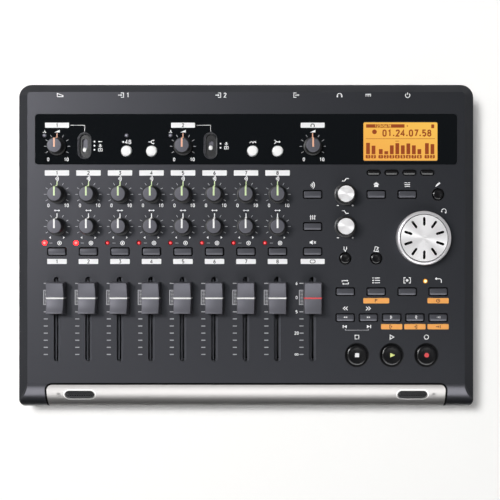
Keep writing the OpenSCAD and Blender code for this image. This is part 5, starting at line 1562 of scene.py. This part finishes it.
# Heading bar, battery, play sign and spot, then the counter, the dividing line and the level bars.
cells = cell(13.9, HEAD_Y, 24.4, 2.2) + cell(44.0, 21.8, 1.9, 2.4, 0.3)
cells += sign("play", 27.6, HEAD_Y, 1.2) + sign("dot", 7, 18.3, 1.485)
for k, pair in enumerate(("01", "24", "07", "58")):
    cells += sign(pair, PAIR_X + PAIR_STEP * k, TIME_Y, 1.85, 0.85)
for k in range(3):
    cells += sign("dot", POINT_X + PAIR_STEP * k, POINT_Y, 0.495)
cells += cell(SCREEN_W / 2, LINE_Y, SCREEN_W - 3, 0.28) + cell(bar_x[5], 12.4, BAR_W, 0.35)
for x, level in zip(bar_x, LEVELS):
    cells += cell(x, BAR_Y + level / 2, BAR_W, level) + cell(x, FOOT_Y, *FOOT_SIZE)
cut = sign("12345678", 12.4, HEAD_Y, 0.75, 0.36)
for x, figure in zip(bar_x, "121234567812"):
    cut += sign(figure, x, FOOT_Y, *FOOT_FIGURE)
print_on("display_cells", cells, screen_z, crystal_ink)
print_on("display_cell_figures", cut, screen_z + FILM, amber_glass)
print("display cells:", len(cells) + len(cut))

# %% [markdown]
# ## Rear sockets, door and inner parts
# Along the rear wall stand two microphone sockets, three phone jacks, two phono sockets, the
# power inlet, a remote jack and the power button. The CAD solids have their true bores, so
# merged copies keep them, and faces are sorted by their distance from each socket's axis:
# bores are nickel, phono inserts red and white, and pin holes are gilt. The bright bush that
# lines the mouth of each jack is a ring of its own, spun about the jack's axis.

# %% Sockets
XLR_X = [-89.5, -27.5]
PHONE_BUSH, REMOTE_BUSH = (3.22, 4.6), (1.32, 2.4)      # inner and outer radius
BUSH = {"proud": 0.25, "soft": 0.12, "sunk": 0.3}
FLANGE_T = 0.5                          # the microphone sockets stand this far out of the wall
PIN_HOLES = {"inner": 2.5, "outer": 5.6, "depth": 12.5, "lead": 0.1}
socket_z = middle("xlr_sockets")[2]
wall_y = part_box("xlr_sockets")[1].y / MM - FLANGE_T
jack_points = cad_copy("jack_sockets")[0]


def about(places, inner, outer, depth, lead=-math.inf):
    """Test for faces whose distance from a socket's axis lies between two radii, from depth inside
    the wall's face to lead inside it."""
    def test(x, y, z):
        off = np.min([np.hypot(x - p, z - socket_z) for p in places], 0)
        return (off > inner) & (off < outer) & (y > wall_y - depth) & (y < wall_y - lead)
    return test


def bush(x, inner, outer):
    """A closed ring profile (r, h) spun about a jack's axis: r goes round in x and z, and h runs
    rearward from the collar's face, which is the rear-most point near the axis."""
    face_y = jack_points[np.hypot(jack_points[:, 0] - x, jack_points[:, 2] - socket_z) < outer, 1].max()
    proud, soft, sunk = BUSH["proud"], BUSH["soft"], BUSH["sunk"]
    profile = [(inner, -sunk), (inner, proud - soft), (inner + soft, proud), (outer - soft, proud),
               (outer, proud - soft), (outer, -sunk), (inner, -sunk)]
    ring = turn(profile, (0, 0))[0].reshape(len(profile), -1, 3)
    return loft(np.stack([x + ring[..., 0], face_y + ring[..., 2], socket_z + ring[..., 1]], -1),
                (False, False))


# Faces in the jacks: places, inner radius, outer radius, depth and finish.
bores = [(PHONE_X, 0, 3.3, 20, nickel), (PHONO_X, 3.9, 4.3, 1, nickel),
         (PHONO_X[:1], 0, 3.9, 5, white_ring), (PHONO_X[1:], 0, 3.9, 5, red_ring),
         ([DC_X], 0, 1.1, 12, nickel), ([REMOTE_X], 0, 1.4, 13, nickel)]
dressed("jack_sockets", "jack_socket_row", "case", socket_nylon,
        [(about(*bore), finish) for *bore, finish in bores], SOCKET_SHARP)
bushes = [bush(x, *PHONE_BUSH) for x in PHONE_X] + [bush(REMOTE_X, *REMOTE_BUSH)]
piece("jack_bushes", [(*joined(bushes), nickel)], "case")
dressed("xlr_sockets", "microphone_sockets", "case", socket_nylon,
        [(about(XLR_X, **PIN_HOLES), gilt)], SOCKET_SHARP)
for node, name, finish, body, slot in (
        ("card_and_usb_sockets", "card_and_data_sockets", nickel, "case", "plated_steel"),
        ("power_button", "power_button_cap", key_abs, "power_button", "key_grey"),
        ("card_door", "card_door_leaf", black_abs, "card_door", "case_black")):
    dressed(node, name, body, finish, sharp=SOCKET_SHARP)
print("rear sockets at height", round(socket_z, 1), "mm")

# %% Parts under the deck
for node, finish in (("circuit_boards", board_resin), ("fader_rails", rail_steel), ("rotary_pots", zinc),
                     ("key_switches", socket_nylon)):
    for k in range(len(nodes[node].material_slots)):
        nodes[node].material_slots[k].material = finish
print("pieces made:", len(made), "faces:", sum(made.values()))
